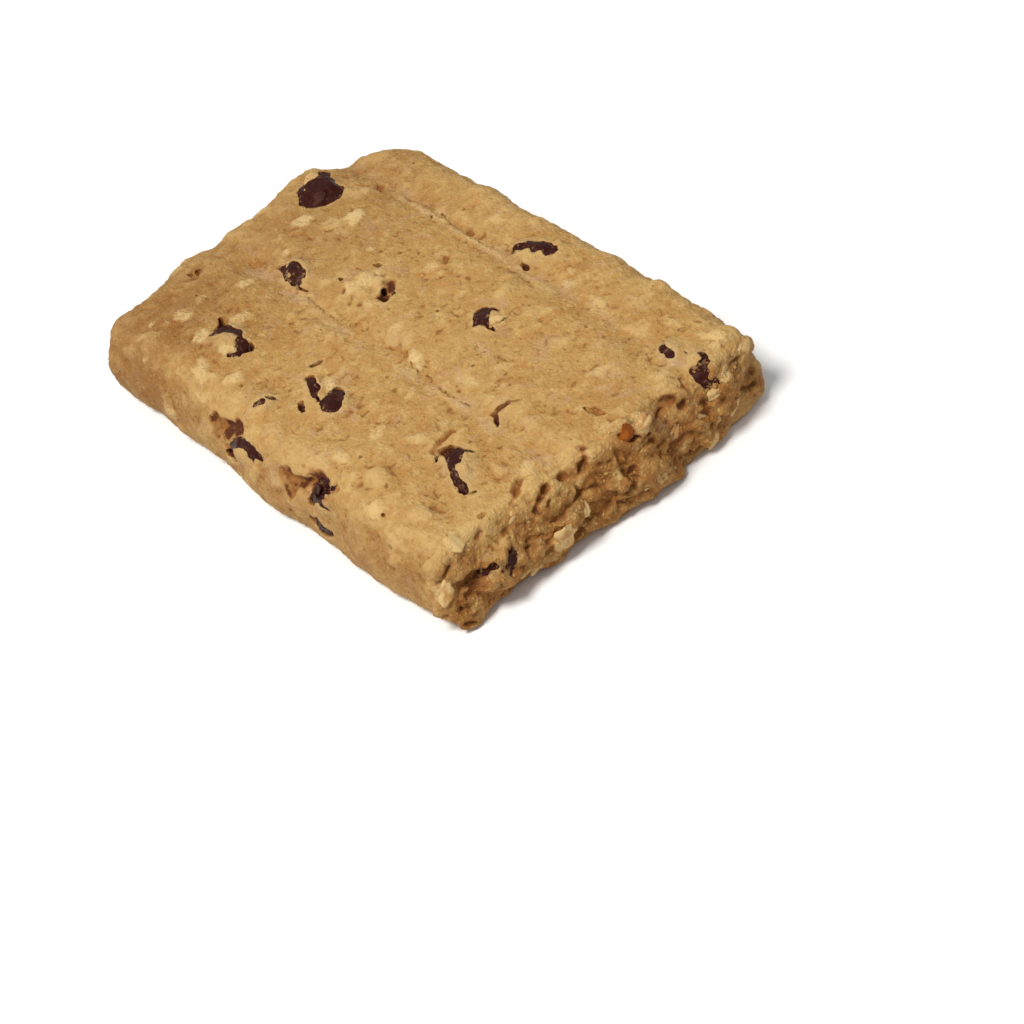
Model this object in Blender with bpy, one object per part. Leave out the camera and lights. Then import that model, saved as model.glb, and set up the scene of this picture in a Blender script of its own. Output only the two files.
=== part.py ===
"""Breakfast biscuit: a baked oat slab with chocolate chips set in its faces.

The slab lies flat on its base. +X runs along its length towards the rough, broken-looking
end, +Y across it and +Z up. The origin is on the base, at the middle of the bounding box.
"""

import math

import bmesh
import bpy
from mathutils import Matrix, Vector, noise
from mathutils.bvhtree import BVHTree

MM = 0.001

# Driving dimensions of the slab.
LENGTH = 71.5 * MM
WIDTH = 48.0 * MM
THICKNESS = 11.0 * MM

# Edges, corners and sides.
TOP_EDGE_RADIUS = 3.8 * MM
ROUGH_EDGE_RADIUS = 2.2 * MM
BASE_EDGE_RADIUS = 1.0 * MM
CORNER_RADII = {                    # by the signs of x and y
    (1, 1): 4.0 * MM,
    (1, -1): 2.5 * MM,
    (-1, 1): 8.3 * MM,
    (-1, -1): 4.1 * MM,
}
SIDE_BULGE = 0.5 * MM
ROUGH_END_SLOPE = 1.2 * MM          # how far the rough end leans back over its height
SLOPE_POWER = 4                     # how closely that lean keeps to the rough end
BAND_DROP = 0.35 * MM               # the two outer bands lie this much lower
CROWN_DROP = 0.35 * MM              # the top falls this much towards both ends

# The two shallow grooves along the top: place across at mid length, and slant along it.
GROOVES = ((14.55 * MM, -0.022), (-4.80 * MM, -0.004))
GROOVE_DEPTH = 0.75 * MM
GROOVE_HALF_WIDTH = 1.5 * MM

# Unevenness of the outline: where a side swells (place along it, how much, half width).
FAR_SIDE_SWELLS = (
    (-12.75 * MM, 0.8 * MM, 2.0 * MM),
    (4.25 * MM, 0.5 * MM, 1.8 * MM),
    (11.25 * MM, 0.5 * MM, 2.0 * MM),
    (20.75 * MM, 0.6 * MM, 3.0 * MM),
    (27.25 * MM, 0.8 * MM, 2.0 * MM),
)
NEAR_SIDE_SWELLS = (
    (1.75 * MM, 1.1 * MM, 6.5 * MM),
    (20.75 * MM, 1.0 * MM, 8.0 * MM),
)
SMOOTH_END_SWELLS = (
    (9.55 * MM, 2.0 * MM, 3.8 * MM),
    (-7.85 * MM, 0.9 * MM, 5.0 * MM),
    (14.05 * MM, -0.9 * MM, 1.3 * MM),
    (19.65 * MM, -2.0 * MM, 4.5 * MM),
    (-18.35 * MM, -1.8 * MM, 5.0 * MM),
)
ROUGH_END_SWELLS = (
    (4.65 * MM, 1.0 * MM, 8.0 * MM),
    (-12.35 * MM, -0.5 * MM, 1.8 * MM),
)

# Lumps all over: size across and height, on the skin and on the rough end.
LUMP_SIZE = 4.2 * MM
LUMP_HEIGHT = 0.45 * MM
ROUGH_LUMP_SIZE = 3.4 * MM
ROUGH_LUMP_HEIGHT = 1.7 * MM
ROUGH_LUMP_SHIFT = (7.0, 3.0, 5.0)  # so that the coarse lumps don't follow the fine ones
ROUGH_ZONE = 5.0 * MM               # length over which the rough end takes over
LUMP_FLOOR = 0.02 * MM              # the lumps start this far above the base

# Grid of the slab: cuts along its length, across it and up it.
CUTS_ALONG = 33
CUTS_ACROSS = 25
CUTS_UP = 3
EDGE_CROWDING = 0.28                # how much closer the grid lines lie near the edges
ALIGNED = 0.9                       # share of its length by which an edge runs along an axis
LEVEL = 0.0001 * MM                 # what lies this close to z = 0 is the flat base
COPLANAR_ANGLE = 0.001              # faces that meet at less than this become one (radians)

# Chips.
CHIP_GAP = 0.35 * MM                # between a chip and its pocket
POCKET_MOUTH = 1.8                  # a pocket's outer half is drawn out to clear the skin
CHIP_SEGMENTS = 8
CHIP_RINGS = 6
CHIP_POINT = 0.30                   # how far the teardrop's tip is drawn out
BASE_CLEARANCE = 0.40 * MM          # chips in the underside are flat this far above the floor
FACES_UP = 0.7                      # a normal with more z than this belongs to the top or base

# Each chip: name, a place near the skin (mm), length, width and height (mm), turn in the
# skin (degrees), and how far its middle lies under the skin (mm).
CHIPS = (
    ("chip_top_01", (-27.85, 8.75, 10.5), (6.2, 4.8, 3.6), 15, 1.25),
    ("chip_top_02", (-17.85, -2.35, 11.0), (5.2, 3.4, 3.0), -8, 1.1),
    ("chip_top_03", (-14.75, -14.05, 11.0), (6.6, 3.8, 3.0), -22, 1.1),
    ("chip_top_04", (4.0, -13.3, 11.0), (4.6, 3.6, 3.2), -40, 1.2),
    ("chip_top_05", (-0.1, -13.1, 11.0), (2.8, 2.0, 2.2), -25, 0.8),
    ("chip_top_06", (-2.25, -18.15, 11.0), (2.4, 2.0, 2.2), 70, 0.8),
    ("chip_top_07", (8.1, 5.4, 11.0), (4.6, 3.4, 3.0), -25, 1.4),
    ("chip_top_08", (2.6, 16.9, 11.0), (5.8, 3.2, 3.0), 22, 1.1),
    ("chip_top_09", (24.15, -11.55, 11.0), (7.0, 3.2, 3.0), -32, 1.2),
    ("chip_top_10", (27.85, 14.55, 11.0), (2.6, 1.8, 2.0), -20, 0.8),
    ("chip_top_11", (32.45, 15.55, 8.8), (4.6, 3.4, 3.0), -60, 1.0),
    ("chip_near_01", (-1.95, -23.35, 7.0), (6.2, 3.4, 3.2), 20, 1.3),
    ("chip_near_02", (12.6, -23.05, 7.8), (4.4, 3.0, 3.0), 20, 1.2),
    ("chip_near_03", (11.65, -24.35, 3.2), (3.6, 2.0, 2.2), 5, 0.9),
    ("chip_end_01", (34.85, -15.35, 6.8), (5.2, 3.6, 3.2), 10, 1.1),
    ("chip_smooth_end_01", (-35.75, -3.85, 5.0), (4.6, 3.4, 3.0), 25, 1.1),
    ("chip_smooth_end_02", (-35.75, 12.65, 4.0), (3.6, 2.8, 2.6), 70, 1.0),
    ("chip_far_01", (-11.75, 24.65, 5.6), (5.2, 3.6, 3.2), 15, 1.65),
    ("chip_far_02", (16.25, 24.65, 4.6), (4.6, 3.4, 3.0), -35, 1.3),
    ("chip_under_01", (-17.75, 6.65, 0.0), (5.6, 4.4, 3.2), 30, 0.6),
    ("chip_under_02", (8.25, -9.35, 0.0), (5.0, 4.0, 3.0), -50, 0.5),
    ("chip_under_03", (22.25, 9.65, 0.0), (5.4, 3.8, 3.0), 80, 0.5),
)


def clear_scene():
    """Remove what a new file starts with."""
    for item in list(bpy.data.objects):
        bpy.data.objects.remove(item, do_unlink=True)


def new_collection(name):
    collection = bpy.data.collections.new(name)
    bpy.context.scene.collection.children.link(collection)
    return collection


def plain_material(name, colour, roughness):
    """A Principled BSDF with one colour."""
    material = bpy.data.materials.new(name)
    material.use_nodes = True
    shader = material.node_tree.nodes["Principled BSDF"]
    shader.inputs["Base Color"].default_value = (*colour, 1.0)
    shader.inputs["Roughness"].default_value = roughness
    shader.inputs["Metallic"].default_value = 0.0
    material.diffuse_color = (*colour, 1.0)
    return material


def bell(distance, half_width):
    """A smooth bump of height 1 at distance 0."""
    return math.exp(-((distance / half_width) ** 2))


def swell(place, swells):
    """Sum of the named swells at a place along a side."""
    return sum(height * bell(place - middle, half) for middle, height, half in swells)


def groove_middle(x, groove):
    middle, slant = groove
    return middle + slant * x


def crowded(t):
    """Spread -1..1 so that the grid lines lie closer together near both ends."""
    return t * (1.0 + EDGE_CROWDING) - EDGE_CROWDING * t ** 3


def round_corner(x, y):
    """Move a point of the plain rectangle so that its corners become arcs.

    Returns the new x and y, and the distance in from the outline.
    """
    half_x = LENGTH / 2
    half_y = WIDTH / 2
    radius = CORNER_RADII[int(math.copysign(1, x)), int(math.copysign(1, y))]
    over_x = abs(x) - (half_x - radius)
    over_y = abs(y) - (half_y - radius)
    if over_x <= 0 or over_y <= 0:
        return x, y, min(half_x - abs(x), half_y - abs(y))
    reach = max(over_x, over_y)
    shrink = reach / math.hypot(over_x, over_y)
    new_x = math.copysign(half_x - radius + over_x * shrink, x)
    new_y = math.copysign(half_y - radius + over_y * shrink, y)
    return new_x, new_y, radius - reach


def edge_fall(inward, radius):
    """How far a rounded edge has fallen at a distance in from the outline."""
    if inward >= radius:
        return 0.0
    return radius - math.sqrt(max(radius ** 2 - (radius - inward) ** 2, 0.0))


def roughness_at(x):
    """How far the rough end has taken over: 0 on the slab, 1 at the end."""
    return min(max((x - (LENGTH / 2 - ROUGH_ZONE)) / ROUGH_ZONE, 0.0), 1.0)


def top_height(x, y, inward):
    """Height of the top: three bands between two grooves, falling at the edges."""
    radius = TOP_EDGE_RADIUS + (ROUGH_EDGE_RADIUS - TOP_EDGE_RADIUS) * roughness_at(x)
    height = THICKNESS - edge_fall(inward, radius)
    height -= CROWN_DROP * (2 * x / LENGTH) ** 2
    for groove in GROOVES:
        away = y - groove_middle(x, groove)
        height -= GROOVE_DEPTH * bell(away, GROOVE_HALF_WIDTH)
    far_edge = groove_middle(x, GROOVES[0])
    near_edge = groove_middle(x, GROOVES[1])
    if y > far_edge or y < near_edge:
        height -= BAND_DROP
    return height


def slab_point(u, v, w):
    """Place on the slab of a point of the cube that reaches from -1 to 1."""
    x, y, inward = round_corner(crowded(u) * LENGTH / 2, crowded(v) * WIDTH / 2)
    up = (w + 1) / 2
    low = edge_fall(inward, BASE_EDGE_RADIUS)
    high = top_height(x, y, inward)
    z = low + (high - low) * up
    along = x
    x += swell(y, ROUGH_END_SWELLS) * max(x, 0) / (LENGTH / 2)
    x += swell(y, SMOOTH_END_SWELLS) * min(x, 0) / (LENGTH / 2)
    x -= ROUGH_END_SLOPE * up * max(u, 0) ** SLOPE_POWER
    y += swell(along, FAR_SIDE_SWELLS) * max(y, 0) / (WIDTH / 2)
    y += swell(along, NEAR_SIDE_SWELLS) * min(y, 0) / (WIDTH / 2)
    if inward < BASE_EDGE_RADIUS:
        bulge = SIDE_BULGE * math.sin(math.pi * up)
        x += bulge * x / (LENGTH / 2)
        y += bulge * y / (WIDTH / 2)
    return Vector((x, y, z))


def lumps_at(point, normal):
    """Offset of the skin by its lumps, which grow coarse towards the rough end."""
    fine = noise.noise(point / LUMP_SIZE) * LUMP_HEIGHT
    place = point / ROUGH_LUMP_SIZE + Vector(ROUGH_LUMP_SHIFT)
    coarse = noise.noise(place) * ROUGH_LUMP_HEIGHT
    return normal * (fine + coarse * roughness_at(point.x))


def subdivide_along(body, axis, cuts):
    """Cut every edge of a cube grid that runs along one axis."""
    along = []
    for edge in body.edges:
        step = edge.verts[1].co - edge.verts[0].co
        if abs(step[axis]) > ALIGNED * step.length:
            along.append(edge)
    bmesh.ops.subdivide_edges(body, edges=along, cuts=cuts, use_grid_fill=True)


def fit_to_size(body):
    """Stretch the slab to its exact length, width and thickness, with the base at z = 0."""
    sizes = (LENGTH, WIDTH, THICKNESS)
    for axis, size in enumerate(sizes):
        low = min(vert.co[axis] for vert in body.verts)
        high = max(vert.co[axis] for vert in body.verts)
        start = 0.0 if axis == 2 else -size / 2
        for vert in body.verts:
            vert.co[axis] = start + (vert.co[axis] - low) * size / (high - low)


def merge_flat_base(body):
    """Make one face of the level middle of the base."""
    flat = [face for face in body.faces if all(abs(vert.co.z) < LEVEL for vert in face.verts)]
    verts = {vert for face in flat for vert in face.verts}
    edges = {edge for face in flat for edge in face.edges}
    verts, edges = list(verts), list(edges)
    bmesh.ops.dissolve_limit(body, angle_limit=COPLANAR_ANGLE, verts=verts, edges=edges)


def make_dough(collection, material):
    """The slab: a cube grid moved onto the biscuit's rounded, uneven form."""
    body = bmesh.new()
    bmesh.ops.create_cube(body, size=2.0)
    for axis, cuts in enumerate((CUTS_ALONG, CUTS_ACROSS, CUTS_UP)):
        subdivide_along(body, axis, cuts)
    for vert in body.verts:
        vert.co = slab_point(*vert.co)
    body.normal_update()
    moved = {}
    for vert in body.verts:
        if vert.co.z > LUMP_FLOOR:
            moved[vert] = vert.co + lumps_at(vert.co, vert.normal)
    for vert, place in moved.items():
        vert.co = place
        vert.co.z = max(vert.co.z, LUMP_FLOOR)
    fit_to_size(body)
    merge_flat_base(body)
    bmesh.ops.recalc_face_normals(body, faces=body.faces)
    mesh = bpy.data.meshes.new("dough")
    body.to_mesh(mesh)
    body.free()
    mesh.materials.append(material)
    dough = bpy.data.objects.new("dough", mesh)
    collection.objects.link(dough)
    return dough


def skin_of(dough):
    """A search tree over the slab's faces, before its pockets are cut."""
    body = bmesh.new()
    body.from_mesh(dough.data)
    tree = BVHTree.FromBMesh(body)
    body.free()
    return tree


def chip_matrix(tree, place, turn, sink):
    """Where a chip goes: its height axis along the skin's normal, sunk under the skin."""
    spot, normal, _, _ = tree.find_nearest(Vector(place) * MM)
    if abs(normal.z) > FACES_UP:
        along = Vector((1, 0, 0))
    else:
        along = Vector((0, 0, 1)).cross(normal)
    along = (along - normal * along.dot(normal)).normalized()
    across = normal.cross(along)
    basis = Matrix((along, across, normal)).transposed().to_4x4()
    middle = spot - normal * sink * MM
    return Matrix.Translation(middle) @ basis @ Matrix.Rotation(math.radians(turn), 4, "Z")


def chip_mesh(name, size, grow, mouth, matrix):
    """A teardrop chip lying on its side, its tip towards its own +X.

    The half that faces out of the skin is drawn out by the factor mouth.
    """
    half = [side * MM / 2 + grow for side in size]
    body = bmesh.new()
    bmesh.ops.create_uvsphere(body, u_segments=CHIP_SEGMENTS, v_segments=CHIP_RINGS, radius=1.0)
    for vert in body.verts:
        x, y, z = vert.co
        taper = 1.0 - CHIP_POINT * max(x, 0.0) ** 2
        draw = mouth if z > 0 else 1.0
        vert.co = Vector((x * half[0], y * taper * half[1], z * taper * draw * half[2]))
    body.transform(matrix)
    mesh = bpy.data.meshes.new(name)
    body.to_mesh(mesh)
    body.free()
    return mesh


def make_chip(name, size, matrix, collection, material):
    """A chip, baked flat where it would come too close to the base."""
    mesh = chip_mesh(name, size, 0.0, 1.0, matrix)
    for vert in mesh.vertices:
        vert.co.z = max(vert.co.z, BASE_CLEARANCE)
    mesh.materials.append(material)
    mesh.shade_smooth()
    chip = bpy.data.objects.new(name, mesh)
    collection.objects.link(chip)
    return chip


def cut_pocket(dough, name, size, matrix, cutters):
    """Cut the pocket that a chip sits in, a little larger than the chip all round."""
    mesh = chip_mesh("pocket_" + name, size, CHIP_GAP, POCKET_MOUTH, matrix)
    cutter = bpy.data.objects.new("pocket_" + name, mesh)
    cutters.objects.link(cutter)
    cutter.hide_render = True
    cutter.display_type = "WIRE"
    cut = dough.modifiers.new("pocket_" + name, "BOOLEAN")
    cut.operation = "DIFFERENCE"
    cut.solver = "EXACT"
    cut.object = cutter


def main():
    clear_scene()
    biscuit = new_collection("breakfast_biscuit")
    cutters = new_collection("cutters")
    dough_material = plain_material("baked_dough", (0.52, 0.28, 0.10), 0.85)
    chip_material = plain_material("dark_chocolate", (0.045, 0.015, 0.010), 0.40)
    dough = make_dough(biscuit, dough_material)
    tree = skin_of(dough)
    for name, place, size, turn, sink in CHIPS:
        matrix = chip_matrix(tree, place, turn, sink)
        make_chip(name, size, matrix, biscuit, chip_material)
        cut_pocket(dough, name, size, matrix, cutters)


main()
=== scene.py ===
"""Looks of the breakfast biscuit: a baked oat crumb with chocolate chips, oat flakes and crumbs.

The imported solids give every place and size. The dough is one skin grown from its solid and
cut open over the chips, the chips are worked up from their own solids, and the flakes, nut
bits and crumbs are set into the finished skin.
"""

import math

import bmesh
import bpy
import numpy as np
from mathutils import Matrix, Vector
from mathutils.bvhtree import BVHTree


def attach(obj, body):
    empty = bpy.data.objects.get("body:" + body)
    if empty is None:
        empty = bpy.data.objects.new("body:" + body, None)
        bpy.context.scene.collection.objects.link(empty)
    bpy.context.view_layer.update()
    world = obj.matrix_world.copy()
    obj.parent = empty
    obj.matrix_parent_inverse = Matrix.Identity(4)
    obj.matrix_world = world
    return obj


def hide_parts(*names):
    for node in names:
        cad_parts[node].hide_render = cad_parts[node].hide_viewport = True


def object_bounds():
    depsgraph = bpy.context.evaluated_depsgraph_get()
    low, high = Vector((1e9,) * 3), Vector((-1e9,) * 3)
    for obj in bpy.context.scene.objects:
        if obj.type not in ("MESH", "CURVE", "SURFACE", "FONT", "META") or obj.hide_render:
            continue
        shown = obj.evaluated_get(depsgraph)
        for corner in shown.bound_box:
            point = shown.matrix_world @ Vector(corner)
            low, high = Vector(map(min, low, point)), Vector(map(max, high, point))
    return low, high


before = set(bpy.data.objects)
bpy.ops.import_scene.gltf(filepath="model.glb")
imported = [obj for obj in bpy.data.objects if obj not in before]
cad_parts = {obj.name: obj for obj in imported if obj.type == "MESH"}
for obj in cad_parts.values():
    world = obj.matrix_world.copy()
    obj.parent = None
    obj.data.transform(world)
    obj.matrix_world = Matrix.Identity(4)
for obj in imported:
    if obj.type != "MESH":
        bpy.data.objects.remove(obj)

bl_info = {
    "name": "Breakfast Biscuit",
    "version": (1, 0, 0),
    "blender": (4, 5, 0),
    "location": "View3D > Sidebar > Biscuit",
    "description": "Builds the crumb, chips, oat flakes and crumbs of a baked oat biscuit",
    "category": "Add Mesh",
}

MM = 0.001
CAD_LOW, CAD_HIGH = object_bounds()
LENGTH = CAD_HIGH[0] - CAD_LOW[0]
WIDTH = CAD_HIGH[1] - CAD_LOW[1]
THICKNESS = CAD_HIGH[2] - CAD_LOW[2]
HALF_LENGTH = LENGTH / 2
HALF_WIDTH = WIDTH / 2
DOUGH_NODE = "dough"
CHIP_NODES = sorted(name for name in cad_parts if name.startswith("chip_"))

# The two grooves along the top: place across at mid length (mm) and slant.
GROOVES = ((14.55, -0.022), (-4.80, -0.004))

# Openings in the skin over the chips, and pits. Each is a run of round holes between two
# places near the skin (mm), the radius at both ends and the depth (mm).
OPENINGS = (
    # the big chip by the smooth end, and its lobe
    ((-28.6, 8.0, 10.5), (-26.5, 9.0, 10.5), 1.75, 1.80, 1.5),
    ((-27.6, 7.5, 10.5), (-26.5, 8.2, 10.5), 1.7, 1.6, 1.5),
    ((-29.4, 10.2, 10.4), (-30.4, 11.3, 10.2), 0.95, 0.85, 1.3),
    # leaf-shaped opening with a thin tail along the near groove
    ((-20.7, -3.0, 10.2), (-19.6, -2.7, 10.3), 0.20, 0.46, 1.0),
    ((-19.5, -2.6, 10.4), (-18.2, -2.2, 10.5), 0.56, 0.84, 1.3),
    ((-18.1, -2.2, 10.5), (-16.7, -2.3, 10.5), 0.88, 0.72, 1.3),
    ((-18.8, -3.0, 10.2), (-16.2, -3.5, 10.1), 0.36, 0.36, 1.1),
    ((-16.9, -3.0, 10.3), (-15.9, -3.3, 10.3), 0.60, 0.36, 1.2),
    ((-15.6, -3.7, 10.1), (-14.0, -3.4, 10.2), 0.24, 0.15, 0.6),
    # ragged opening, partly smeared over
    ((-18.6, -12.5, 10.2), (-17.1, -13.3, 10.3), 0.36, 0.50, 0.9),
    ((-16.8, -13.7, 10.3), (-14.6, -13.3, 10.4), 0.85, 0.75, 1.2),
    ((-17.1, -15.0, 10.2), (-16.3, -14.4, 10.3), 0.24, 0.42, 0.9),
    ((-14.2, -13.3, 10.4), (-12.9, -14.0, 10.4), 0.48, 0.42, 1.1),
    ((-12.9, -13.6, 10.4), (-11.3, -13.7, 10.3), 0.50, 0.58, 1.1),
    ((-12.6, -14.5, 10.4), (-11.5, -14.3, 10.3), 0.34, 0.40, 1.0),
    ((-12.4, -15.7, 10.2), (-11.6, -15.0, 10.3), 0.34, 0.30, 0.9),
    # the two openings side by side, and the crack beside them
    ((-1.4, -12.4, 10.1), (0.2, -13.2, 10.2), 0.52, 0.66, 1.1),
    ((0.2, -13.2, 10.2), (1.5, -14.0, 10.2), 0.60, 0.40, 1.1),
    ((1.6, -14.0, 10.3), (2.6, -14.2, 10.3), 0.22, 0.22, 0.8),
    ((2.5, -11.7, 10.1), (3.2, -12.3, 10.2), 0.42, 0.95, 1.2),
    ((3.4, -12.7, 10.3), (4.6, -13.9, 10.4), 1.20, 1.25, 1.5),
    ((3.3, -13.8, 10.3), (4.5, -14.6, 10.4), 0.60, 0.60, 1.4),
    ((1.0, -15.6, 10.3), (2.4, -16.3, 10.3), 0.26, 0.36, 0.9),
    # single small openings of the near band
    ((-2.6, -19.0, 10.4), (-1.9, -17.6, 10.4), 0.30, 0.44, 1.0),
    ((-3.1, -11.1, 10.3), (-2.8, -10.1, 10.3), 0.26, 0.36, 0.8),
    # near side, arch over its chip
    ((-5.6, -22.9, 4.8), (-4.5, -22.8, 5.9), 0.42, 0.55, 1.2),
    ((-4.4, -22.8, 6.0), (-3.0, -22.5, 7.2), 0.55, 0.62, 1.2),
    ((-2.9, -22.5, 7.3), (-1.5, -22.3, 8.0), 0.62, 0.60, 1.2),
    ((-1.4, -22.3, 8.0), (0.3, -22.5, 8.1), 0.58, 0.60, 1.2),
    ((0.4, -22.5, 8.0), (1.9, -22.7, 7.6), 0.55, 0.36, 1.1),
    ((-4.7, -23.0, 4.6), (-3.7, -23.1, 4.2), 0.40, 0.26, 1.0),
    ((-3.6, -22.9, 6.0), (-2.9, -23.0, 5.5), 0.30, 0.22, 0.9),
    ((-0.2, -22.7, 7.3), (0.5, -22.8, 7.0), 0.28, 0.20, 0.9),
    # near side, chip under the broad hollow, and the hole below it
    ((10.4, -22.7, 6.3), (11.3, -22.4, 7.3), 0.50, 0.70, 1.2),
    ((11.4, -22.3, 7.5), (12.6, -22.1, 8.0), 0.78, 0.72, 1.2),
    ((12.7, -22.1, 8.1), (13.9, -21.9, 8.6), 0.60, 0.34, 1.1),
    ((13.2, -22.3, 7.6), (14.2, -22.4, 7.4), 0.46, 0.30, 1.0),
    ((10.3, -22.9, 3.6), (12.0, -23.1, 3.8), 0.90, 1.10, 1.8),
    ((12.1, -23.1, 3.8), (14.2, -23.3, 4.1), 0.95, 0.45, 1.7),
    # middle band, red-brown pit with a chip in it
    ((6.5, 6.2, 10.7), (7.9, 4.5, 10.7), 0.92, 0.80, 1.5),
    ((7.0, 6.7, 10.7), (7.8, 7.2, 10.7), 0.62, 0.30, 1.0),
    ((7.4, 6.0, 10.7), (8.2, 5.2, 10.7), 0.60, 0.50, 1.2),
    ((8.6, 4.8, 10.8), (10.0, 4.8, 10.8), 0.44, 0.36, 1.1),
    ((9.5, 5.9, 10.8), (9.8, 6.3, 10.8), 0.30, 0.24, 0.9),
    # far band, long opening
    ((0.4, 15.3, 10.3), (1.4, 16.6, 10.3), 0.50, 0.66, 1.0),
    ((1.6, 16.7, 10.4), (2.6, 17.2, 10.4), 0.70, 0.98, 1.2),
    ((2.8, 17.2, 10.4), (4.3, 17.7, 10.4), 1.15, 1.00, 1.4),
    ((2.7, 14.5, 10.1), (3.9, 14.5, 10.1), 0.22, 0.44, 0.8),
    # hook over the long chip, and the crack beside it
    ((21.0, -12.2, 10.3), (20.0, -11.0, 10.2), 0.26, 0.38, 1.0),
    ((20.0, -10.9, 10.2), (20.2, -10.3, 10.2), 0.34, 0.26, 0.9),
    ((20.5, -9.9, 10.2), (22.2, -9.5, 10.2), 0.34, 0.56, 1.1),
    ((22.2, -9.5, 10.2), (23.1, -9.0, 10.2), 0.56, 0.36, 1.1),
    ((21.8, -10.3, 10.2), (23.1, -11.2, 10.2), 1.20, 0.80, 1.3),
    ((23.1, -11.2, 10.2), (24.2, -12.1, 10.1), 0.56, 0.42, 1.2),
    ((24.4, -12.3, 10.1), (26.6, -13.1, 10.0), 0.50, 0.44, 1.2),
    ((27.2, -13.4, 9.9), (27.9, -12.6, 9.9), 0.20, 0.26, 0.8),
    # far band by the rough end
    ((27.1, 14.4, 10.1), (28.6, 14.1, 10.1), 0.48, 0.56, 1.1),
    ((29.6, 15.3, 10.0), (30.0, 15.3, 10.0), 0.22, 0.20, 0.7),
    ((31.4, 16.2, 9.6), (32.5, 15.4, 8.6), 0.46, 0.54, 1.2),
    ((32.0, 14.5, 8.9), (33.1, 14.7, 8.0), 0.58, 0.62, 1.2),
    # rough end, chip and the crevice beside it
    ((33.4, -14.4, 6.1), (33.9, -15.0, 5.0), 0.55, 0.60, 1.4),
    ((33.4, -16.0, 5.7), (33.2, -17.0, 5.9), 0.56, 0.40, 1.3),
    ((33.0, -17.4, 5.9), (32.8, -18.8, 5.7), 0.28, 0.20, 0.8),
    # pits and short cracks of the top
    ((-29.1, -8.7, 10.3), (-28.4, -9.8, 10.3), 0.30, 0.42, 0.6),
    ((-24.8, -11.8, 10.4), (-23.4, -11.3, 10.4), 0.16, 0.12, 0.4),
    ((-5.8, 2.3, 10.7), (-5.2, 1.1, 10.7), 0.44, 0.58, 1.7),
    ((-13.2, 14.1, 9.8), (-13.0, 14.3, 9.8), 0.24, 0.22, 0.6),
    # thin cracks along the grooves
    ((-13.3, -3.9, 9.9), (-9.8, -4.3, 10.0), 0.17, 0.12, 0.32),
    ((-8.6, -4.4, 10.0), (-7.2, -4.3, 10.0), 0.12, 0.12, 0.26),
    ((5.6, -3.8, 10.1), (7.6, -4.3, 10.0), 0.13, 0.13, 0.30),
    ((8.6, -4.0, 10.1), (9.9, -4.4, 10.1), 0.13, 0.13, 0.30),
    ((12.2, -4.6, 10.1), (14.3, -4.5, 10.1), 0.13, 0.14, 0.30),
    ((15.4, -4.5, 10.1), (16.8, -4.3, 10.1), 0.14, 0.17, 0.34),
    ((-12.4, 15.2, 9.9), (-9.6, 14.8, 10.0), 0.15, 0.13, 0.32),
    ((-4.6, 14.5, 10.0), (-2.4, 14.3, 10.0), 0.14, 0.13, 0.30),
    ((-10.6, 3.9, 10.7), (-9.8, 4.2, 10.7), 0.22, 0.30, 0.6),
    ((-12.2, 0.0, 10.8), (-11.8, -0.1, 10.8), 0.24, 0.20, 0.5),
    ((20.2, -3.8, 10.4), (20.6, -1.7, 10.6), 0.38, 0.24, 0.6),
    ((20.6, -1.5, 10.6), (21.4, -0.7, 10.6), 0.14, 0.18, 0.5),
    ((20.8, -4.0, 10.4), (22.0, -4.5, 10.2), 0.24, 0.18, 0.6),
    ((27.8, 2.8, 10.6), (28.6, 3.0, 10.5), 0.20, 0.24, 0.5),
    # openings of the sides that face away
    ((-10.8, 23.7, 5.8), (-13.3, 23.7, 5.0), 1.1, 1.0, 1.4),
    ((16.1, 23.7, 5.2), (17.9, 23.7, 4.0), 1.0, 0.8, 1.3),
    ((27.2, 23.7, 6.4), (29.9, 23.5, 5.6), 0.35, 0.6, 1.0),
    ((-25.8, 23.1, 4.2), (-23.8, 23.4, 4.6), 0.4, 0.3, 0.8),
    ((-34.9, -2.6, 4.6), (-34.9, -5.1, 4.2), 1.0, 1.1, 1.3),
    ((-35.2, 10.2, 4.4), (-35.0, 11.8, 3.4), 0.8, 0.8, 1.2),
    # openings of the underside
    ((-18.9, 6.1, 0.0), (-16.6, 7.2, 0.0), 1.6, 1.3, 1.2),
    ((7.7, -8.5, 0.0), (9.1, -10.2, 0.0), 1.2, 1.4, 1.2),
    ((22.1, 8.2, 0.0), (22.4, 10.8, 0.0), 1.3, 1.0, 1.2),
)

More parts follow.
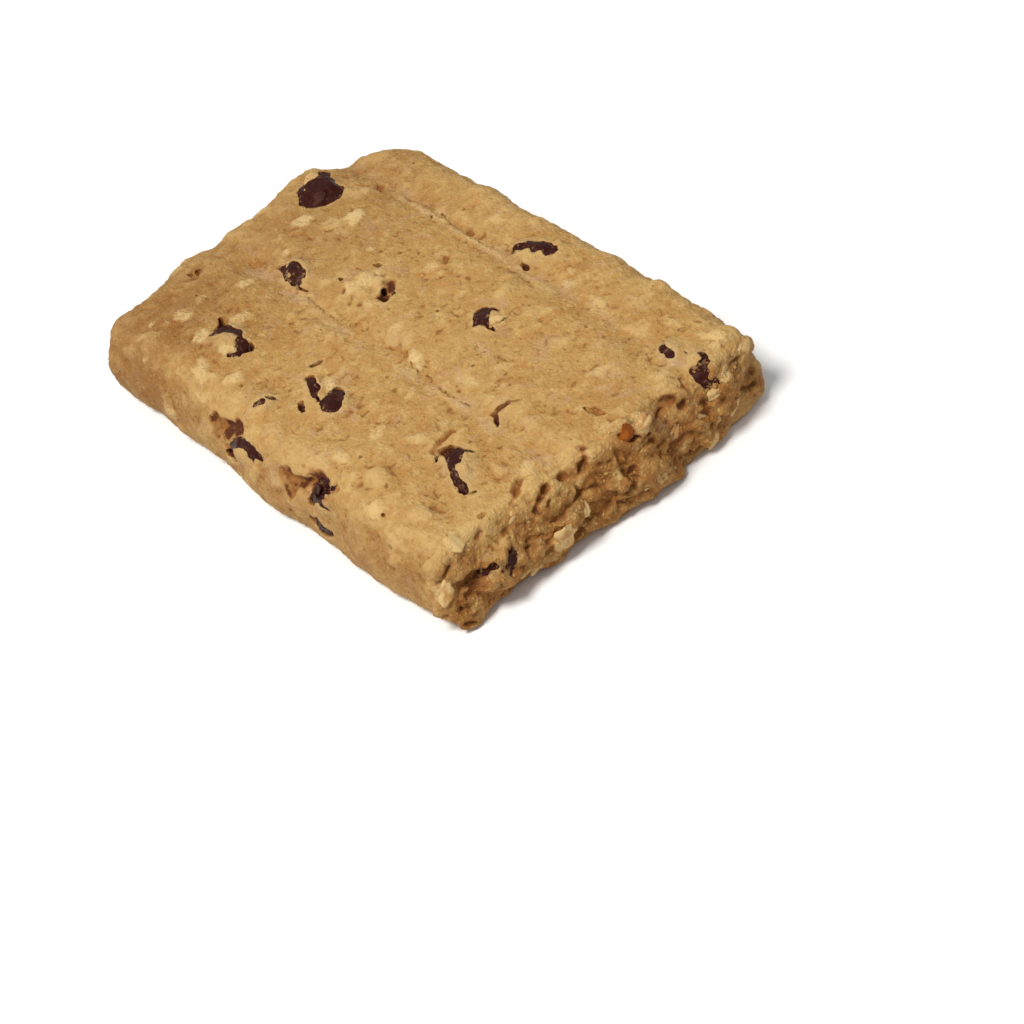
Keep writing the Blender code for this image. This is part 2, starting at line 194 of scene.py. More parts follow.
# Broad hollows in the crust, browned inside: start, end (mm), radius, depth (mm), browning.
# Browning above about 1 adds painted shade that turns the bottom of a hollow nearly black.
HOLLOWS = (
    ((-7.4, -22.4, 7.2), (-3.6, -21.7, 8.8), 1.10, 0.95, 1.40),
    ((-6.4, -22.6, 6.0), (-5.5, -22.7, 5.2), 0.80, 0.60, 1.00),
    ((6.4, -22.8, 7.5), (13.0, -21.6, 8.9), 1.25, 1.05, 1.38),
    ((6.2, -22.9, 7.0), (6.9, -23.1, 6.1), 0.60, 0.75, 1.40),
    ((8.8, -22.6, 7.3), (10.6, -22.1, 8.0), 0.70, 0.40, 0.60),
    ((12.6, -21.6, 9.1), (14.6, -21.1, 9.6), 0.60, 0.30, 0.50),
    ((9.9, -22.9, 3.6), (11.0, -22.9, 4.0), 0.70, 0.30, 0.70),
    ((-23.0, 13.6, 9.9), (-22.0, 13.4, 9.9), 0.90, 0.30, 0.65),
    ((-7.1, 15.2, 10.0), (-6.5, 14.9, 10.0), 0.55, 0.25, 0.75),
    ((-4.8, 9.7, 10.5), (-4.0, 9.2, 10.5), 0.75, 0.30, 0.45),
    ((-11.3, -0.5, 10.7), (-9.6, -1.5, 10.7), 0.42, 0.36, 0.55),
    ((-8.0, -1.8, 10.7), (-6.6, -1.2, 10.7), 0.36, 0.26, 0.30),
    ((-19.1, -12.2, 10.3), (-17.4, -13.2, 10.3), 0.7, 0.45, 0.9),
    ((18.3, -8.2, 10.2), (19.4, -10.9, 10.2), 0.65, 0.35, 0.9),
    ((-29.4, -8.4, 10.3), (-28.1, -10.2, 10.3), 0.9, 0.45, 0.8),
    ((-6.0, 2.6, 10.7), (-5.0, 0.8, 10.7), 0.95, 0.60, 1.5),
    ((0.2, 15.5, 10.3), (1.4, 16.8, 10.3), 0.7, 0.35, 0.7),
    ((30.5, -8.4, 10.0), (31.9, -11.0, 9.3), 0.7, 0.60, 0.95),
    ((32.3, -7.4, 8.8), (33.0, -8.9, 7.8), 0.6, 0.65, 1.15),
    ((32.0, -5.8, 8.9), (32.6, -4.2, 8.6), 0.6, 0.60, 0.9),
    ((32.2, -1.4, 9.5), (33.0, -3.0, 9.0), 0.6, 0.65, 1.15),
    ((33.5, -0.8, 8.4), (34.0, 1.2, 7.9), 0.6, 0.60, 0.9),
    ((34.2, 4.6, 8.0), (34.1, 6.2, 7.1), 0.45, 0.50, 1.0),
    ((33.9, 6.0, 7.8), (32.6, 8.3, 8.2), 0.6, 0.60, 0.9),
    ((32.2, 8.9, 9.1), (32.7, 10.9, 8.9), 0.65, 0.65, 1.15),
    ((32.6, 11.2, 8.8), (33.2, 11.4, 7.4), 0.6, 0.70, 1.25),
    ((31.4, 12.8, 9.4), (32.6, 12.6, 8.6), 0.4, 0.40, 0.8),
    ((31.0, -14.6, 9.4), (32.2, -16.0, 8.4), 0.5, 0.40, 0.8),
    ((28.6, 3.0, 10.5), (29.9, 3.2, 10.4), 0.50, 0.45, 1.2),
    ((30.0, 3.2, 10.4), (31.6, 3.3, 10.2), 0.46, 0.40, 1.1),
    ((32.4, 2.4, 9.9), (33.9, 3.2, 8.9), 0.50, 0.65, 1.5),
    ((34.0, 3.4, 8.8), (34.4, 5.4, 8.2), 0.42, 0.60, 1.4),
    ((33.1, -18.6, 5.2), (33.5, -20.6, 3.2), 1.15, 0.80, 0.85),
    ((33.0, -18.2, 5.8), (33.6, -16.4, 5.5), 0.70, 0.75, 1.45),
    ((33.6, -16.2, 5.6), (34.1, -14.5, 5.4), 0.90, 0.75, 1.35),
    ((33.9, -13.6, 4.0), (34.2, -11.6, 5.0), 0.80, 0.60, 0.80),
    ((34.2, -9.0, 6.0), (34.4, -6.2, 6.8), 0.80, 0.60, 0.80),
    ((34.4, -3.0, 3.2), (34.6, -0.6, 4.4), 0.90, 0.60, 0.85),
    ((34.6, 2.6, 5.4), (34.6, 4.4, 4.6), 0.80, 0.60, 0.85),
    ((34.4, 7.4, 4.4), (34.2, 10.4, 4.9), 0.85, 0.65, 0.85),
    ((33.9, 14.6, 3.4), (33.6, 17.6, 4.4), 0.80, 0.60, 0.85),
    ((-35.0, -14.3, 4.0), (-35.1, -12.2, 4.6), 0.9, 0.45, 0.7),
    ((2.2, 23.5, 6.6), (4.7, 23.5, 5.8), 1.0, 0.50, 0.8),
    ((-24.1, -9.6, 0.0), (-20.4, -11.2, 0.0), 1.1, 0.60, 0.8),
    ((-4.2, 13.8, 0.0), (-1.6, 15.9, 0.0), 0.9, 0.55, 0.9),
    ((17.4, -14.2, 0.0), (21.2, -13.1, 0.0), 1.2, 0.60, 0.8),
    ((-28.8, 12.7, 0.0), (-27.4, 14.6, 0.0), 0.8, 0.50, 0.8),
    ((1.1, -17.6, 0.0), (2.9, -18.9, 0.0), 0.7, 0.50, 1.0),
    ((-30.1, 21.5, 5.6), (-28.1, 22.3, 5.2), 0.9, 0.45, 0.7),
)

# Rounded oat lumps under the crust, four of them side by side in one: place, half sizes (mm).
OAT_LUMPS = (
    ((-9.7, 1.5, 10.1), (1.7, 1.6, 1.15)),
    ((-7.8, 1.7, 10.1), (1.6, 1.5, 1.20)),
    ((-8.2, -0.2, 10.1), (1.8, 1.3, 1.15)),
    ((-10.2, -0.1, 10.0), (1.0, 0.9, 1.05)),
    ((-12.9, 3.0, 10.1), (1.6, 1.2, 0.85)),
    ((18.2, -17.8, 9.9), (2.4, 1.6, 0.9)),
    ((25.8, -18.4, 9.6), (1.9, 1.5, 1.1)),
)

# Low narrow ridges along the grooves: start, end (mm), radius, height (mm), how pale (paler
# crust with a painted highlight).
RIDGES = (
    ((-26.0, 15.0, 9.9), (-19.0, 14.2, 9.9), 0.55, 0.12, 0.30),
    ((-19.0, 14.1, 9.9), (-15.7, 14.3, 9.9), 0.55, 0.22, 0.70),
    ((-15.7, 14.3, 9.9), (-10.5, 14.2, 9.9), 0.70, 0.26, 0.85),
    ((-9.4, 13.9, 10.0), (-4.5, 14.0, 10.0), 0.60, 0.18, 0.55),
    ((-4.5, 14.0, 10.0), (3.0, 13.7, 10.0), 0.60, 0.14, 0.40),
    ((3.0, 13.7, 10.0), (10.0, 13.4, 10.0), 0.60, 0.10, 0.25),
    ((-12.9, -4.9, 9.9), (-6.5, -5.2, 10.0), 0.60, 0.12, 0.20),
    ((5.0, -5.2, 10.0), (17.0, -5.2, 10.0), 0.60, 0.10, 0.25),
)

# Pin holes of the crust: place (mm) and radius (mm).
PIN_HOLES = (
    ((-22.6, 19.0, 10.1), 0.18),
    ((-12.8, 13.8, 10.2), 0.22),
    ((2.0, 3.1, 10.7), 0.20),
    ((12.8, -0.3, 10.7), 0.20),
    ((20.4, 6.2, 10.6), 0.18),
    ((13.7, -16.8, 10.3), 0.25),
    ((22.1, -20.7, 9.6), 0.20),
    ((-7.0, -6.6, 10.5), 0.20),
    ((-8.6, 6.4, 10.7), 0.18),
    ((-18.1, 1.9, 10.7), 0.15),
    ((-0.9, -8.2, 10.4), 0.15),
    ((30.4, -1.4, 10.4), 0.18),
)

# Oat flakes that show pale through the crust: place (mm), length, width (mm), turn
# (degrees), how high they stand (mm) and how pale they are.
PALE_FLAKES = (
    ((5.8, -3.2, 10.4), 3.0, 1.7, -25, 0.10, 1.0),
    ((-19.9, 8.0, 10.6), 4.0, 2.0, -50, 0.14, 0.95),
    ((-24.8, 3.9, 10.5), 3.2, 2.2, 0, 0.12, 0.85),
    ((-21.8, -7.1, 10.2), 2.6, 1.9, 20, 0.12, 0.85),
    ((-21.6, -0.8, 10.4), 1.8, 1.4, 0, 0.12, 0.8),
    ((-18.4, -15.8, 10.2), 3.4, 2.4, -20, 0.12, 0.85),
    ((-8.7, -18.0, 10.3), 3.0, 2.0, 0, 0.12, 0.85),
    ((-13.2, -19.2, 10.0), 3.2, 2.0, 10, 0.12, 0.85),
    ((-23.6, -14.9, 10.2), 3.0, 2.2, 30, 0.12, 0.7),
    ((20.9, -20.6, 9.6), 3.4, 2.2, -10, 0.14, 0.75),
    ((31.6, -18.7, 9.8), 2.6, 2.0, 0, 0.2, 0.9),
    ((1.2, -11.7, 10.2), 2.8, 1.6, -30, 0.12, 1.0),
    ((-12.9, -15.5, 10.4), 3.0, 1.3, -25, 0.10, 0.9),
    ((9.1, 6.4, 10.8), 1.8, 1.3, 20, 0.16, 1.0),
    ((-30.1, 9.8, 10.6), 1.8, 1.3, 40, 0.3, 0.9),
    ((-8.8, 0.9, 10.9), 4.8, 4.2, 15, 0.02, 0.85),
    ((33.4, 5.3, 9.4), 2.8, 2.2, 20, 0.20, 1.0),
    ((33.9, -7.5, 3.4), 3.6, 3.0, 0, 0.15, 0.9),
    ((33.8, -11.6, 1.8), 2.0, 1.6, 0, 0.25, 0.9),
    ((34.1, 13.0, 1.8), 2.0, 1.3, 40, 0.20, 0.85),
    ((34.6, 5.0, 2.8), 2.8, 1.8, 20, 0.20, 0.85),
    ((32.4, 20.9, 8.2), 2.2, 1.4, 30, 0.25, 0.8),
    ((33.0, -13.2, 2.6), 1.8, 1.4, 0, 0.20, 0.7),
    ((33.9, 0.6, 6.0), 2.0, 1.4, 60, 0.15, 0.6),
    ((34.2, 9.6, 3.4), 2.2, 1.5, 30, 0.15, 0.6),
    ((33.2, 16.6, 7.9), 2.2, 1.4, 15, 0.10, 0.85),
    ((32.5, -21.9, 5.5), 2.7, 1.9, 60, 0.25, 1.0),
    ((11.8, -18.2, 10.2), 2.6, 1.8, 0, 0.12, 0.7),
    ((16.6, -11.3, 10.3), 2.8, 1.8, 30, 0.10, 0.6),
    ((29.6, -6.8, 10.4), 2.6, 1.7, 15, 0.12, 0.7),
    ((24.9, 7.5, 10.5), 2.8, 1.8, 0, 0.10, 0.55),
    ((30.6, 19.2, 9.8), 3.6, 1.5, -15, 0.3, 0.95),
    ((15.1, 15.2, 10.3), 3.0, 1.8, 0, 0.10, 0.5),
    ((-5.3, 17.8, 10.3), 2.6, 1.8, 0, 0.10, 0.5),
)

# Chips that stand out of the crust or lie deep under it, and how far (mm).
PROUD_CHIPS = {"chip_top_01": 0.80, "chip_near_03": -0.45}

# Chips that spread further than the others under the crust (mm).
WIDE_CHIPS = {"chip_top_01": 0.5, "chip_near_01": 0.3, "chip_near_02": 0.3}

# Radius of the dome that a proud chip stands out in (m).
CHIP_DOME = 2.4 * MM

# Lobes of the chips past their pockets: place and half sizes (mm).
CHIP_LOBES = {
    "chip_top_01": (((-30.0, 10.7, 10.0), (1.5, 1.4, 0.8)),),
}

# Oat flakes that stick out: place (mm), length, width (mm), turn, lean (degrees), how deep
# the middle lies (mm).
SET_FLAKES = (
    ((33.9, -7.5, 3.6), 3.2, 2.7, 80, 0, 0.02),
    ((33.8, -11.6, 1.9), 1.8, 1.4, 40, 8, 0.10),
    ((34.6, 5.0, 2.8), 2.6, 1.7, 70, 6, 0.10),
    ((34.1, 13.0, 1.9), 1.8, 1.2, 30, -5, 0.10),
    ((33.6, 17.0, 3.2), 2.8, 1.0, 75, 8, 0.10),
    ((33.8, 15.2, 6.6), 2.2, 1.4, 5, 6, 0.15),
    ((34.5, -3.8, 4.6), 2.2, 1.4, 70, 6, 0.15),
    ((34.1, 9.1, 5.8), 2.2, 1.4, 35, -6, 0.15),
)

# Pale bits that lie on chips, in openings and along the rough end: place, length, width,
# thickness (mm), turn (degrees).
CHIP_BITS = (
    ((-30.2, 9.3, 10.9), 2.5, 1.9, 1.3, 20),
    ((-29.2, 8.9, 11.2), 1.0, 0.7, 0.7, 60),
    ((-28.6, 7.5, 11.4), 0.62, 0.50, 0.50, 0),
    ((-27.0, 8.9, 11.4), 0.60, 0.46, 0.46, 40),
    ((-18.9, -2.3, 10.7), 0.45, 0.30, 0.30, -30),
    ((9.2, 5.9, 11.0), 1.7, 1.4, 1.0, 30),
    ((9.4, 5.1, 11.0), 0.6, 0.4, 0.4, 0),
    ((1.6, -12.4, 10.5), 0.8, 0.3, 0.3, -45),
    ((33.8, 5.6, 9.6), 1.9, 1.5, 1.1, 30),
    ((31.9, -18.5, 9.7), 2.2, 1.9, 0.6, 80),
    ((32.6, -21.8, 5.6), 2.8, 1.6, 0.6, 65),
)

# Nut bits: place, half sizes (mm), how deep the middle lies (mm).
NUT_BITS = (
    ((33.0, 3.6, 9.7), (1.30, 0.95, 0.95), 0.15),
    ((-19.8, 23.7, 6.6), (1.3, 0.9, 0.8), 0.35),
    ((-35.5, 3.2, 5.6), (1.1, 0.9, 0.8), 0.35),
    ((8.2, 23.8, 4.4), (1.0, 0.8, 0.7), 0.30),
    ((-5.8, -6.8, 0.0), (1.3, 1.0, 0.7), 0.60),
)

# Spacing of the grids that the shapes are made on (m). The dough's fine grid is a setting.
COARSE_GRID = 0.7 * MM
CUTTER_GRID = 0.15 * MM
CHIP_GRID = 0.18 * MM
NUT_GRID = 0.12 * MM

# Points closer than this are one (m), on a chip and on the dough.
CHIP_WELD = 0.01 * MM
DOUGH_WELD = 0.001 * MM

# How far a chip swells to fill its pocket before the dough is skinned over (m).
POCKET_FILL = 0.55 * MM

# Counts of what is strewn over the skin.
CRUST_FLAKES = 380
END_LUMPS = 150
SIDE_LUMPS = 150

# The crumbly end starts this far from the end's tip and fades in over the next length (m).
ROUGH_END = 4.2 * MM
ROUGH_FADE = 2.6 * MM

# How far the skin may rise over the solid before it is pressed down, and the room that is
# left above that level (m).
FREE_RISE = 0.04 * MM
LAST_RISE = 0.22 * MM

# Thickness of the oat flakes that stick out (m).
FLAKE_THICKNESS = 0.80 * MM

FULL_TURN = 6.28

# The point on the floor that the camera looks at (mm).
CAMERA_AIM = (23.45, -6.8, 0.0)

# The key light's place and width (m), power (W) and colour, and the sky's strength.
KEY_PLACE = (0.10, -0.40, 0.80)
KEY_SIZE = 0.32
KEY_POWER = 8.2
KEY_COLOUR = (1.0, 0.985, 0.955)
SKY_STRENGTH = 0.46

# Half the floor's width, and how far it lies under the biscuit (m).
FLOOR_REACH = 3.0
FLOOR_GAP = 0.02 * MM


# ---------------------------------------------------------------- settings


def colour_setting(name, description, default):
    return bpy.props.FloatVectorProperty(
        name=name, description=description, default=default, subtype="COLOR"
    )


def length_setting(name, description, default):
    return bpy.props.FloatProperty(
        name=name, description=description, default=default, unit="LENGTH", precision=5
    )


def angle_setting(name, description, degrees):
    return bpy.props.FloatProperty(
        name=name, description=description, default=math.radians(degrees), subtype="ANGLE"
    )


def count_setting(name, description, default, least=0):
    return bpy.props.IntProperty(
        name=name, description=description, default=default, min=least
    )


class BiscuitDoughSettings(bpy.types.PropertyGroup):
    """Grain and colours of the baked crumb."""

    voxel: length_setting("Grid", "Spacing of the skin's grid", 0.23 * MM)
    triangles: count_setting("Triangles", "The most triangles the skin may have", 194000, 1000)
    grain: length_setting("Grain", "Height of the crumb's fine grain", 0.070 * MM)
    ripple: length_setting("Ripple", "Height of the crust's gentle lumps", 0.20 * MM)
    crust: colour_setting("Crust", "Golden colour of the baked top", (0.428, 0.250, 0.079))
    warm: colour_setting("Warm patches", "Browner, redder patches", (0.365, 0.182, 0.046))
    pale: colour_setting("Pale patches", "Paler, floury patches", (0.515, 0.335, 0.118))
    flake: colour_setting("Oat", "Oat flakes that show through the crust", (0.610, 0.440, 0.205))
    caramel: colour_setting("Caramel", "Pits and crevices", (0.230, 0.078, 0.016))


class BiscuitChocolateSettings(bpy.types.PropertyGroup):
    """Chocolate of the chips."""

    colour: colour_setting("Chocolate", "Dark chocolate", (0.030, 0.0055, 0.0038))
    bloom: colour_setting("Bloom", "Dusty bloom on the chips", (0.070, 0.026, 0.020))
    fill: length_setting(
        "Fill", "How far a chip spreads past its pocket, under the crust", 0.70 * MM
    )


class BiscuitFlakeSettings(bpy.types.PropertyGroup):
    """Loose oat flakes, nut bits and crumbs."""

    count: count_setting("Flakes", "Oat flakes that stand out of the crumb", 14)
    crumbs: count_setting("Crumbs", "Small crumbs on the skin", 150)
    oat: colour_setting("Oat", "Bare oat flake", (0.540, 0.360, 0.150))
    nut: colour_setting("Nut", "Toasted nut bit", (0.250, 0.068, 0.009))


class BiscuitStageSettings(bpy.types.PropertyGroup):
    """Camera, floor and light."""

    azimuth: angle_setting("Azimuth", "Camera's direction round the biscuit, from -Y", 61.87)
    elevation: angle_setting("Elevation", "Camera's height above the floor", 41.44)
    roll: angle_setting("Roll", "Camera's turn about its own view", -17.15)
    distance: length_setting(
        "Distance", "From the camera to the point it aims at", 333.6 * MM
    )
    lens: bpy.props.FloatProperty(
        name="Lens", description="Focal length in millimetres", default=109.84
    )
    floor: colour_setting("Floor", "Plain pale floor", (0.86, 0.86, 0.86))


# ---------------------------------------------------------------- mesh helpers


class Workshop:
    """What the dough and the chips leave for the pieces set into them."""

    skin = None
    crust = None
    surfaces = []


def new_object(name, mesh):
    piece = bpy.data.objects.new(name, mesh)
    bpy.context.scene.collection.objects.link(piece)
    return piece


def mesh_from(body, name):
    """A new mesh of what a bmesh holds. The bmesh is freed."""
    mesh = bpy.data.meshes.new(name)
    body.to_mesh(mesh)
    body.free()
    return mesh


def add_to(body, other):
    """Add one bmesh to another. The one that is added is freed."""
    mesh = mesh_from(other, "part")
    body.from_mesh(mesh)
    bpy.data.meshes.remove(mesh)


def points_of(mesh):
    """The mesh's vertices, one row each, in metres."""
    flat = np.empty(len(mesh.vertices) * 3)
    mesh.vertices.foreach_get("co", flat)
    return flat.reshape(-1, 3)


def normals_of(mesh):
    flat = np.empty(len(mesh.vertices) * 3)
    mesh.vertex_normals.foreach_get("vector", flat)
    return flat.reshape(-1, 3)


def set_points(mesh, points):
    mesh.vertices.foreach_set("co", np.ascontiguousarray(points).reshape(-1))
    mesh.update()


def edges_of(mesh):
    flat = np.empty(len(mesh.edges) * 2, dtype=np.int32)
    mesh.edges.foreach_get("vertices", flat)
    return flat.reshape(-1, 2)


def relaxed(points, edges, rounds, share=0.5):
    """Points moved towards the middle of their neighbours, some rounds over."""
    count = len(points)
    ends = np.concatenate([edges[:, 0], edges[:, 1]])
    others = np.concatenate([edges[:, 1], edges[:, 0]])
    valence = np.maximum(np.bincount(ends, minlength=count), 1)
    for _ in range(rounds):
        middle = np.empty_like(points)
        for axis in range(points.shape[1]):
            total = np.bincount(ends, weights=points[others, axis], minlength=count)
            middle[:, axis] = total / valence
        points = points + (middle - points) * share
    return points


def evened(points, edges, rounds):
    """Points smoothed without shrinking the shape they lie on."""
    for _ in range(rounds):
        points = relaxed(points, edges, 1, 0.5)
        points = relaxed(points, edges, 1, -0.53)
    return points


def evaluated(mesh, add_modifier):
    """A copy of the mesh with one modifier applied."""
    holder = new_object("holder", mesh)
    add_modifier(holder)
    graph = bpy.context.evaluated_depsgraph_get()
    result = bpy.data.meshes.new_from_object(holder.evaluated_get(graph))
    bpy.data.objects.remove(holder, do_unlink=True)
    return result


def thinned(mesh, triangles):
    """The mesh with no more than a number of triangles, coarser where it is even."""
    count = sum(len(face.vertices) - 2 for face in mesh.polygons)
    if count <= triangles:
        return mesh

    def add(holder):
        thin = holder.modifiers.new("thin", "DECIMATE")
        thin.decimate_type = "COLLAPSE"
        thin.ratio = triangles / count

    return evaluated(mesh, add)


def voxelled(mesh, voxel):
    """The mesh as one closed skin on an even grid."""

    def add(holder):
        grid = holder.modifiers.new("grid", "REMESH")
        grid.mode = "VOXEL"
        grid.voxel_size = voxel
        grid.adaptivity = 0.0

    return evaluated(mesh, add)


def cut_away(mesh, cutter_mesh):
    """The mesh with the cutter's closed shapes taken out of it."""
    cutter = new_object("cutter", cutter_mesh)

    def add(holder):
        cut = holder.modifiers.new("cut", "BOOLEAN")
        cut.operation = "DIFFERENCE"
        cut.solver = "MANIFOLD"
        cut.object = cutter

    result = evaluated(mesh, add)
    bpy.data.objects.remove(cutter, do_unlink=True)
    if len(result.vertices) == len(mesh.vertices):
        raise RuntimeError("the openings were not cut")
    return result


def write_attribute(mesh, name, values):
    """Keep one number for each vertex, for the materials to read."""
    attribute = mesh.attributes.new(name, "FLOAT", "POINT")
    attribute.data.foreach_set("value", np.ascontiguousarray(values, dtype=np.float32))


def smooth_step(low, high, values):
    """0 at low and below, 1 at high and beyond, with a soft run between them."""
    t = np.clip((values - low) / (high - low), 0.0, 1.0)
    return t * t * (3.0 - 2.0 * t)


def lattice_value(corner, seed):
    """A fixed random value from 0 to 1 for each whole-numbered corner of a grid."""
    mixed = (
        corner[:, 0].astype(np.uint64) * np.uint64(73856093)
        ^ corner[:, 1].astype(np.uint64) * np.uint64(19349663)
        ^ corner[:, 2].astype(np.uint64) * np.uint64(83492791)
        ^ np.uint64(seed * 2654435761 % 4294967296)
    )
    mixed &= np.uint64(0xFFFFFFFF)
    for shift, factor in ((15, 2246822519), (13, 3266489917)):
        mixed = (mixed ^ (mixed >> np.uint64(shift))) * np.uint64(factor) & np.uint64(0xFFFFFFFF)
    mixed ^= mixed >> np.uint64(16)
    return (mixed & np.uint64(0xFFFFFF)).astype(float) / 0xFFFFFF


def soft_noise(points, size, seed):
    """Smooth noise from -1 to 1 with lumps of about the given size."""
    cell = points / size + 4096.0
    base = np.floor(cell).astype(np.int64)
    part = cell - base
    part = part * part * (3.0 - 2.0 * part)
    total = np.zeros(len(points))
    for corner in range(8):
        offset = np.array([corner & 1, corner >> 1 & 1, corner >> 2 & 1])
        weight = np.prod(np.where(offset == 1, part, 1.0 - part), axis=1)
        total += weight * lattice_value(base + offset, seed)
    return total * 2.0 - 1.0


def layered_noise(points, size, seed, layers=3):
    """Soft noise with finer, weaker layers on top."""
    total = np.zeros(len(points))
    weight = 1.0
    for layer in range(layers):
        total += weight * soft_noise(points, size / 2**layer, seed + layer)
        weight *= 0.5
    return total / 1.6


def pebbles(points, size, seed):
    """Distances to the nearest and second nearest of scattered points, in units of size."""
    cell = points / size + 4096.0
    base = np.floor(cell).astype(np.int64)
    first = np.full(len(points), 9.0)
    second = np.full(len(points), 9.0)
    for index in range(27):
        corner = base + np.array([index // 9 - 1, index // 3 % 3 - 1, index % 3 - 1])
        scatter = np.stack([lattice_value(corner, seed + axis) for axis in range(3)], axis=1)
        away = np.linalg.norm(corner + scatter - cell, axis=1)
        second = np.where(away < first, first, np.minimum(second, away))
        first = np.minimum(first, away)
    return first, second


def blob(body, place, half_sizes, turn, detail):
    """Add an ellipsoid to a bmesh."""
    scale = Matrix.Diagonal((*half_sizes, 1.0))
    matrix = Matrix.Translation(place) @ turn.to_4x4() @ scale
    ball = bmesh.new()
    bmesh.ops.create_icosphere(ball, subdivisions=detail, radius=1.0, matrix=matrix)
    add_to(body, ball)


def facing(normal, spin=0.0):
    """A turn that lays +Z along the normal, then spins about it."""
    return normal.to_track_quat("Z", "Y").to_matrix() @ Matrix.Rotation(spin, 3, "Z")


def lying_along(normal, way):
    """A turn that lays +Z along the normal and +X as near as can be to a way."""
    along = (way - normal * way.dot(normal)).normalized()
    return Matrix((along, normal.cross(along), normal)).transposed()


def skin_tree(mesh):
    """The mesh as a tree that finds nearest points and ray hits."""
    body = bmesh.new()
    body.from_mesh(mesh)
    tree = BVHTree.FromBMesh(body)
    body.free()
    return tree


# ---------------------------------------------------------------- dough


def grown_chip(name, grow):
    """A chip's solid swollen by a distance, as a mesh."""
    body = bmesh.new()
    body.from_mesh(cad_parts[name].data)
    bmesh.ops.remove_doubles(body, verts=body.verts, dist=CHIP_WELD)
    body.normal_update()
    moves = [(vert, vert.co + vert.normal * grow) for vert in body.verts]
    for vert, place in moves:
        vert.co = place
    return mesh_from(body, name + "_grown")


def whole_skin():
    """The dough's solid with its pockets filled, as one smooth closed skin."""
    body = bmesh.new()
    body.from_mesh(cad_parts[DOUGH_NODE].data)
    bmesh.ops.remove_doubles(body, verts=body.verts, dist=DOUGH_WELD)
    for name in CHIP_NODES:
        chip = grown_chip(name, POCKET_FILL)
        body.from_mesh(chip)
        bpy.data.meshes.remove(chip)
    for vert in body.verts:
        vert.co.z = max(vert.co.z, 0.0)
    coarse = voxelled(mesh_from(body, "whole_skin"), COARSE_GRID)
    points = evened(points_of(coarse), edges_of(coarse), 10)
    points[:, 2] = np.maximum(points[:, 2], 0.0)
    set_points(coarse, points)
    return coarse


def random_skin_spots(mesh, count, picker, weight):
    """Random places on a mesh with their normals, more of them where weight is high."""
    faces = mesh.polygons
    centres = np.array([face.center[:] for face in faces])
    normals = np.array([face.normal[:] for face in faces])
    areas = np.array([face.area for face in faces])
    chances = areas * weight(centres, normals)
    chances /= chances.sum()
    picks = picker.choice(len(faces), size=count, p=chances)
    jitter = (picker.random((count, 3)) - 0.5) * 0.6 * MM
    return centres[picks] + jitter, normals[picks]


def roughness_of(points):
    """1 on the crumbly end, 0 on the smooth crust."""
    start = HALF_LENGTH - ROUGH_END
    wander = soft_noise(points, 3.0 * MM, 5) * 1.2 * MM
    return smooth_step(start, start + ROUGH_FADE, points[:, 0] + wander)


def add_end_lumps(body, skin, picker):
    """Lumps of crumb that make up the rough end, drawn out along it."""

    def mostly_end(centres, normals):
        end = np.clip((centres[:, 0] - (HALF_LENGTH - 3.6 * MM)) / (2.0 * MM), 0, 1)
        return end * (centres[:, 2] > 0.8 * MM)

    spots, normals = random_skin_spots(skin, END_LUMPS, picker, mostly_end)
    for spot, normal in zip(spots, normals):
        size = picker.uniform(0.7, 1.7) * MM
        flat = picker.uniform(0.45, 0.8)
        turn = lying_along(Vector(normal), Vector((0.0, 1.0, picker.uniform(-1.1, 0.3))))
        tip = Matrix.Rotation(picker.uniform(-0.5, 0.5), 3, "X")
        place = Vector(spot) - Vector(normal) * size * flat * picker.uniform(0.55, 0.95)
        place.x = min(place.x, HALF_LENGTH - size * 0.60)
        place.z = max(place.z, size * 0.75)
        blob(body, place, (size * picker.uniform(1.1, 2.0), size, size * flat), turn @ tip, 2)


def add_side_lumps(body, skin, picker):
    """Low oat lumps that swell the crust of the top and the sides."""

    def not_under(centres, normals):
        return (normals[:, 2] > -0.3) * (centres[:, 2] > 2.0 * MM)

    spots, normals = random_skin_spots(skin, SIDE_LUMPS, picker, not_under)
    for spot, normal in zip(spots, normals):
        size = picker.uniform(1.0, 2.1) * MM
        turn = facing(Vector(normal), picker.uniform(0, FULL_TURN))
        place = Vector(spot) - Vector(normal) * size * 0.42
        blob(body, place, (size, size * picker.uniform(0.6, 0.9), size * 0.5), turn, 2)


def fine_skin(skin, picker, voxel):
    """The skin with its lumps, on the fine grid."""
    body = bmesh.new()
    body.from_mesh(skin)
    add_end_lumps(body, skin, picker)
    add_side_lumps(body, skin, picker)
    for place, half_sizes in OAT_LUMPS:
        blob(body, Vector(place) * MM, Vector(half_sizes) * MM, Matrix.Identity(3), 3)
    return voxelled(mesh_from(body, "lumped"), voxel)


def held_down(points):
    """Points squeezed under the highest level the biscuit may reach."""
    level = THICKNESS + FREE_RISE
    over = np.maximum(points[:, 2] - level, 0.0)
    points[:, 2] = np.minimum(points[:, 2], level) + LAST_RISE * np.tanh(over / LAST_RISE)
    return points


def groove_share(points):
    """1 along the middle of the two grooves, fading to 0 beside them."""
    share = np.zeros(len(points))
    x = points[:, 0]
    wander = soft_noise(points * (1.0, 0.0, 0.0), 5.0 * MM, 31) * 0.6 * MM
    for middle, slant in GROOVES:
        away = points[:, 1] - (middle * MM + slant * x) - wander
        share += np.exp(-((away / (0.8 * MM)) ** 2))
    return share


def away_from_run(points, start, end):
    """Distance (m) of the points from the straight run between two places (mm)."""
    first = np.array(start) * MM
    run = np.array(end) * MM - first
    part = np.clip((points - first) @ run / (run @ run), 0.0, 1.0)
    return np.linalg.norm(points - first - part[:, None] * run, axis=1)


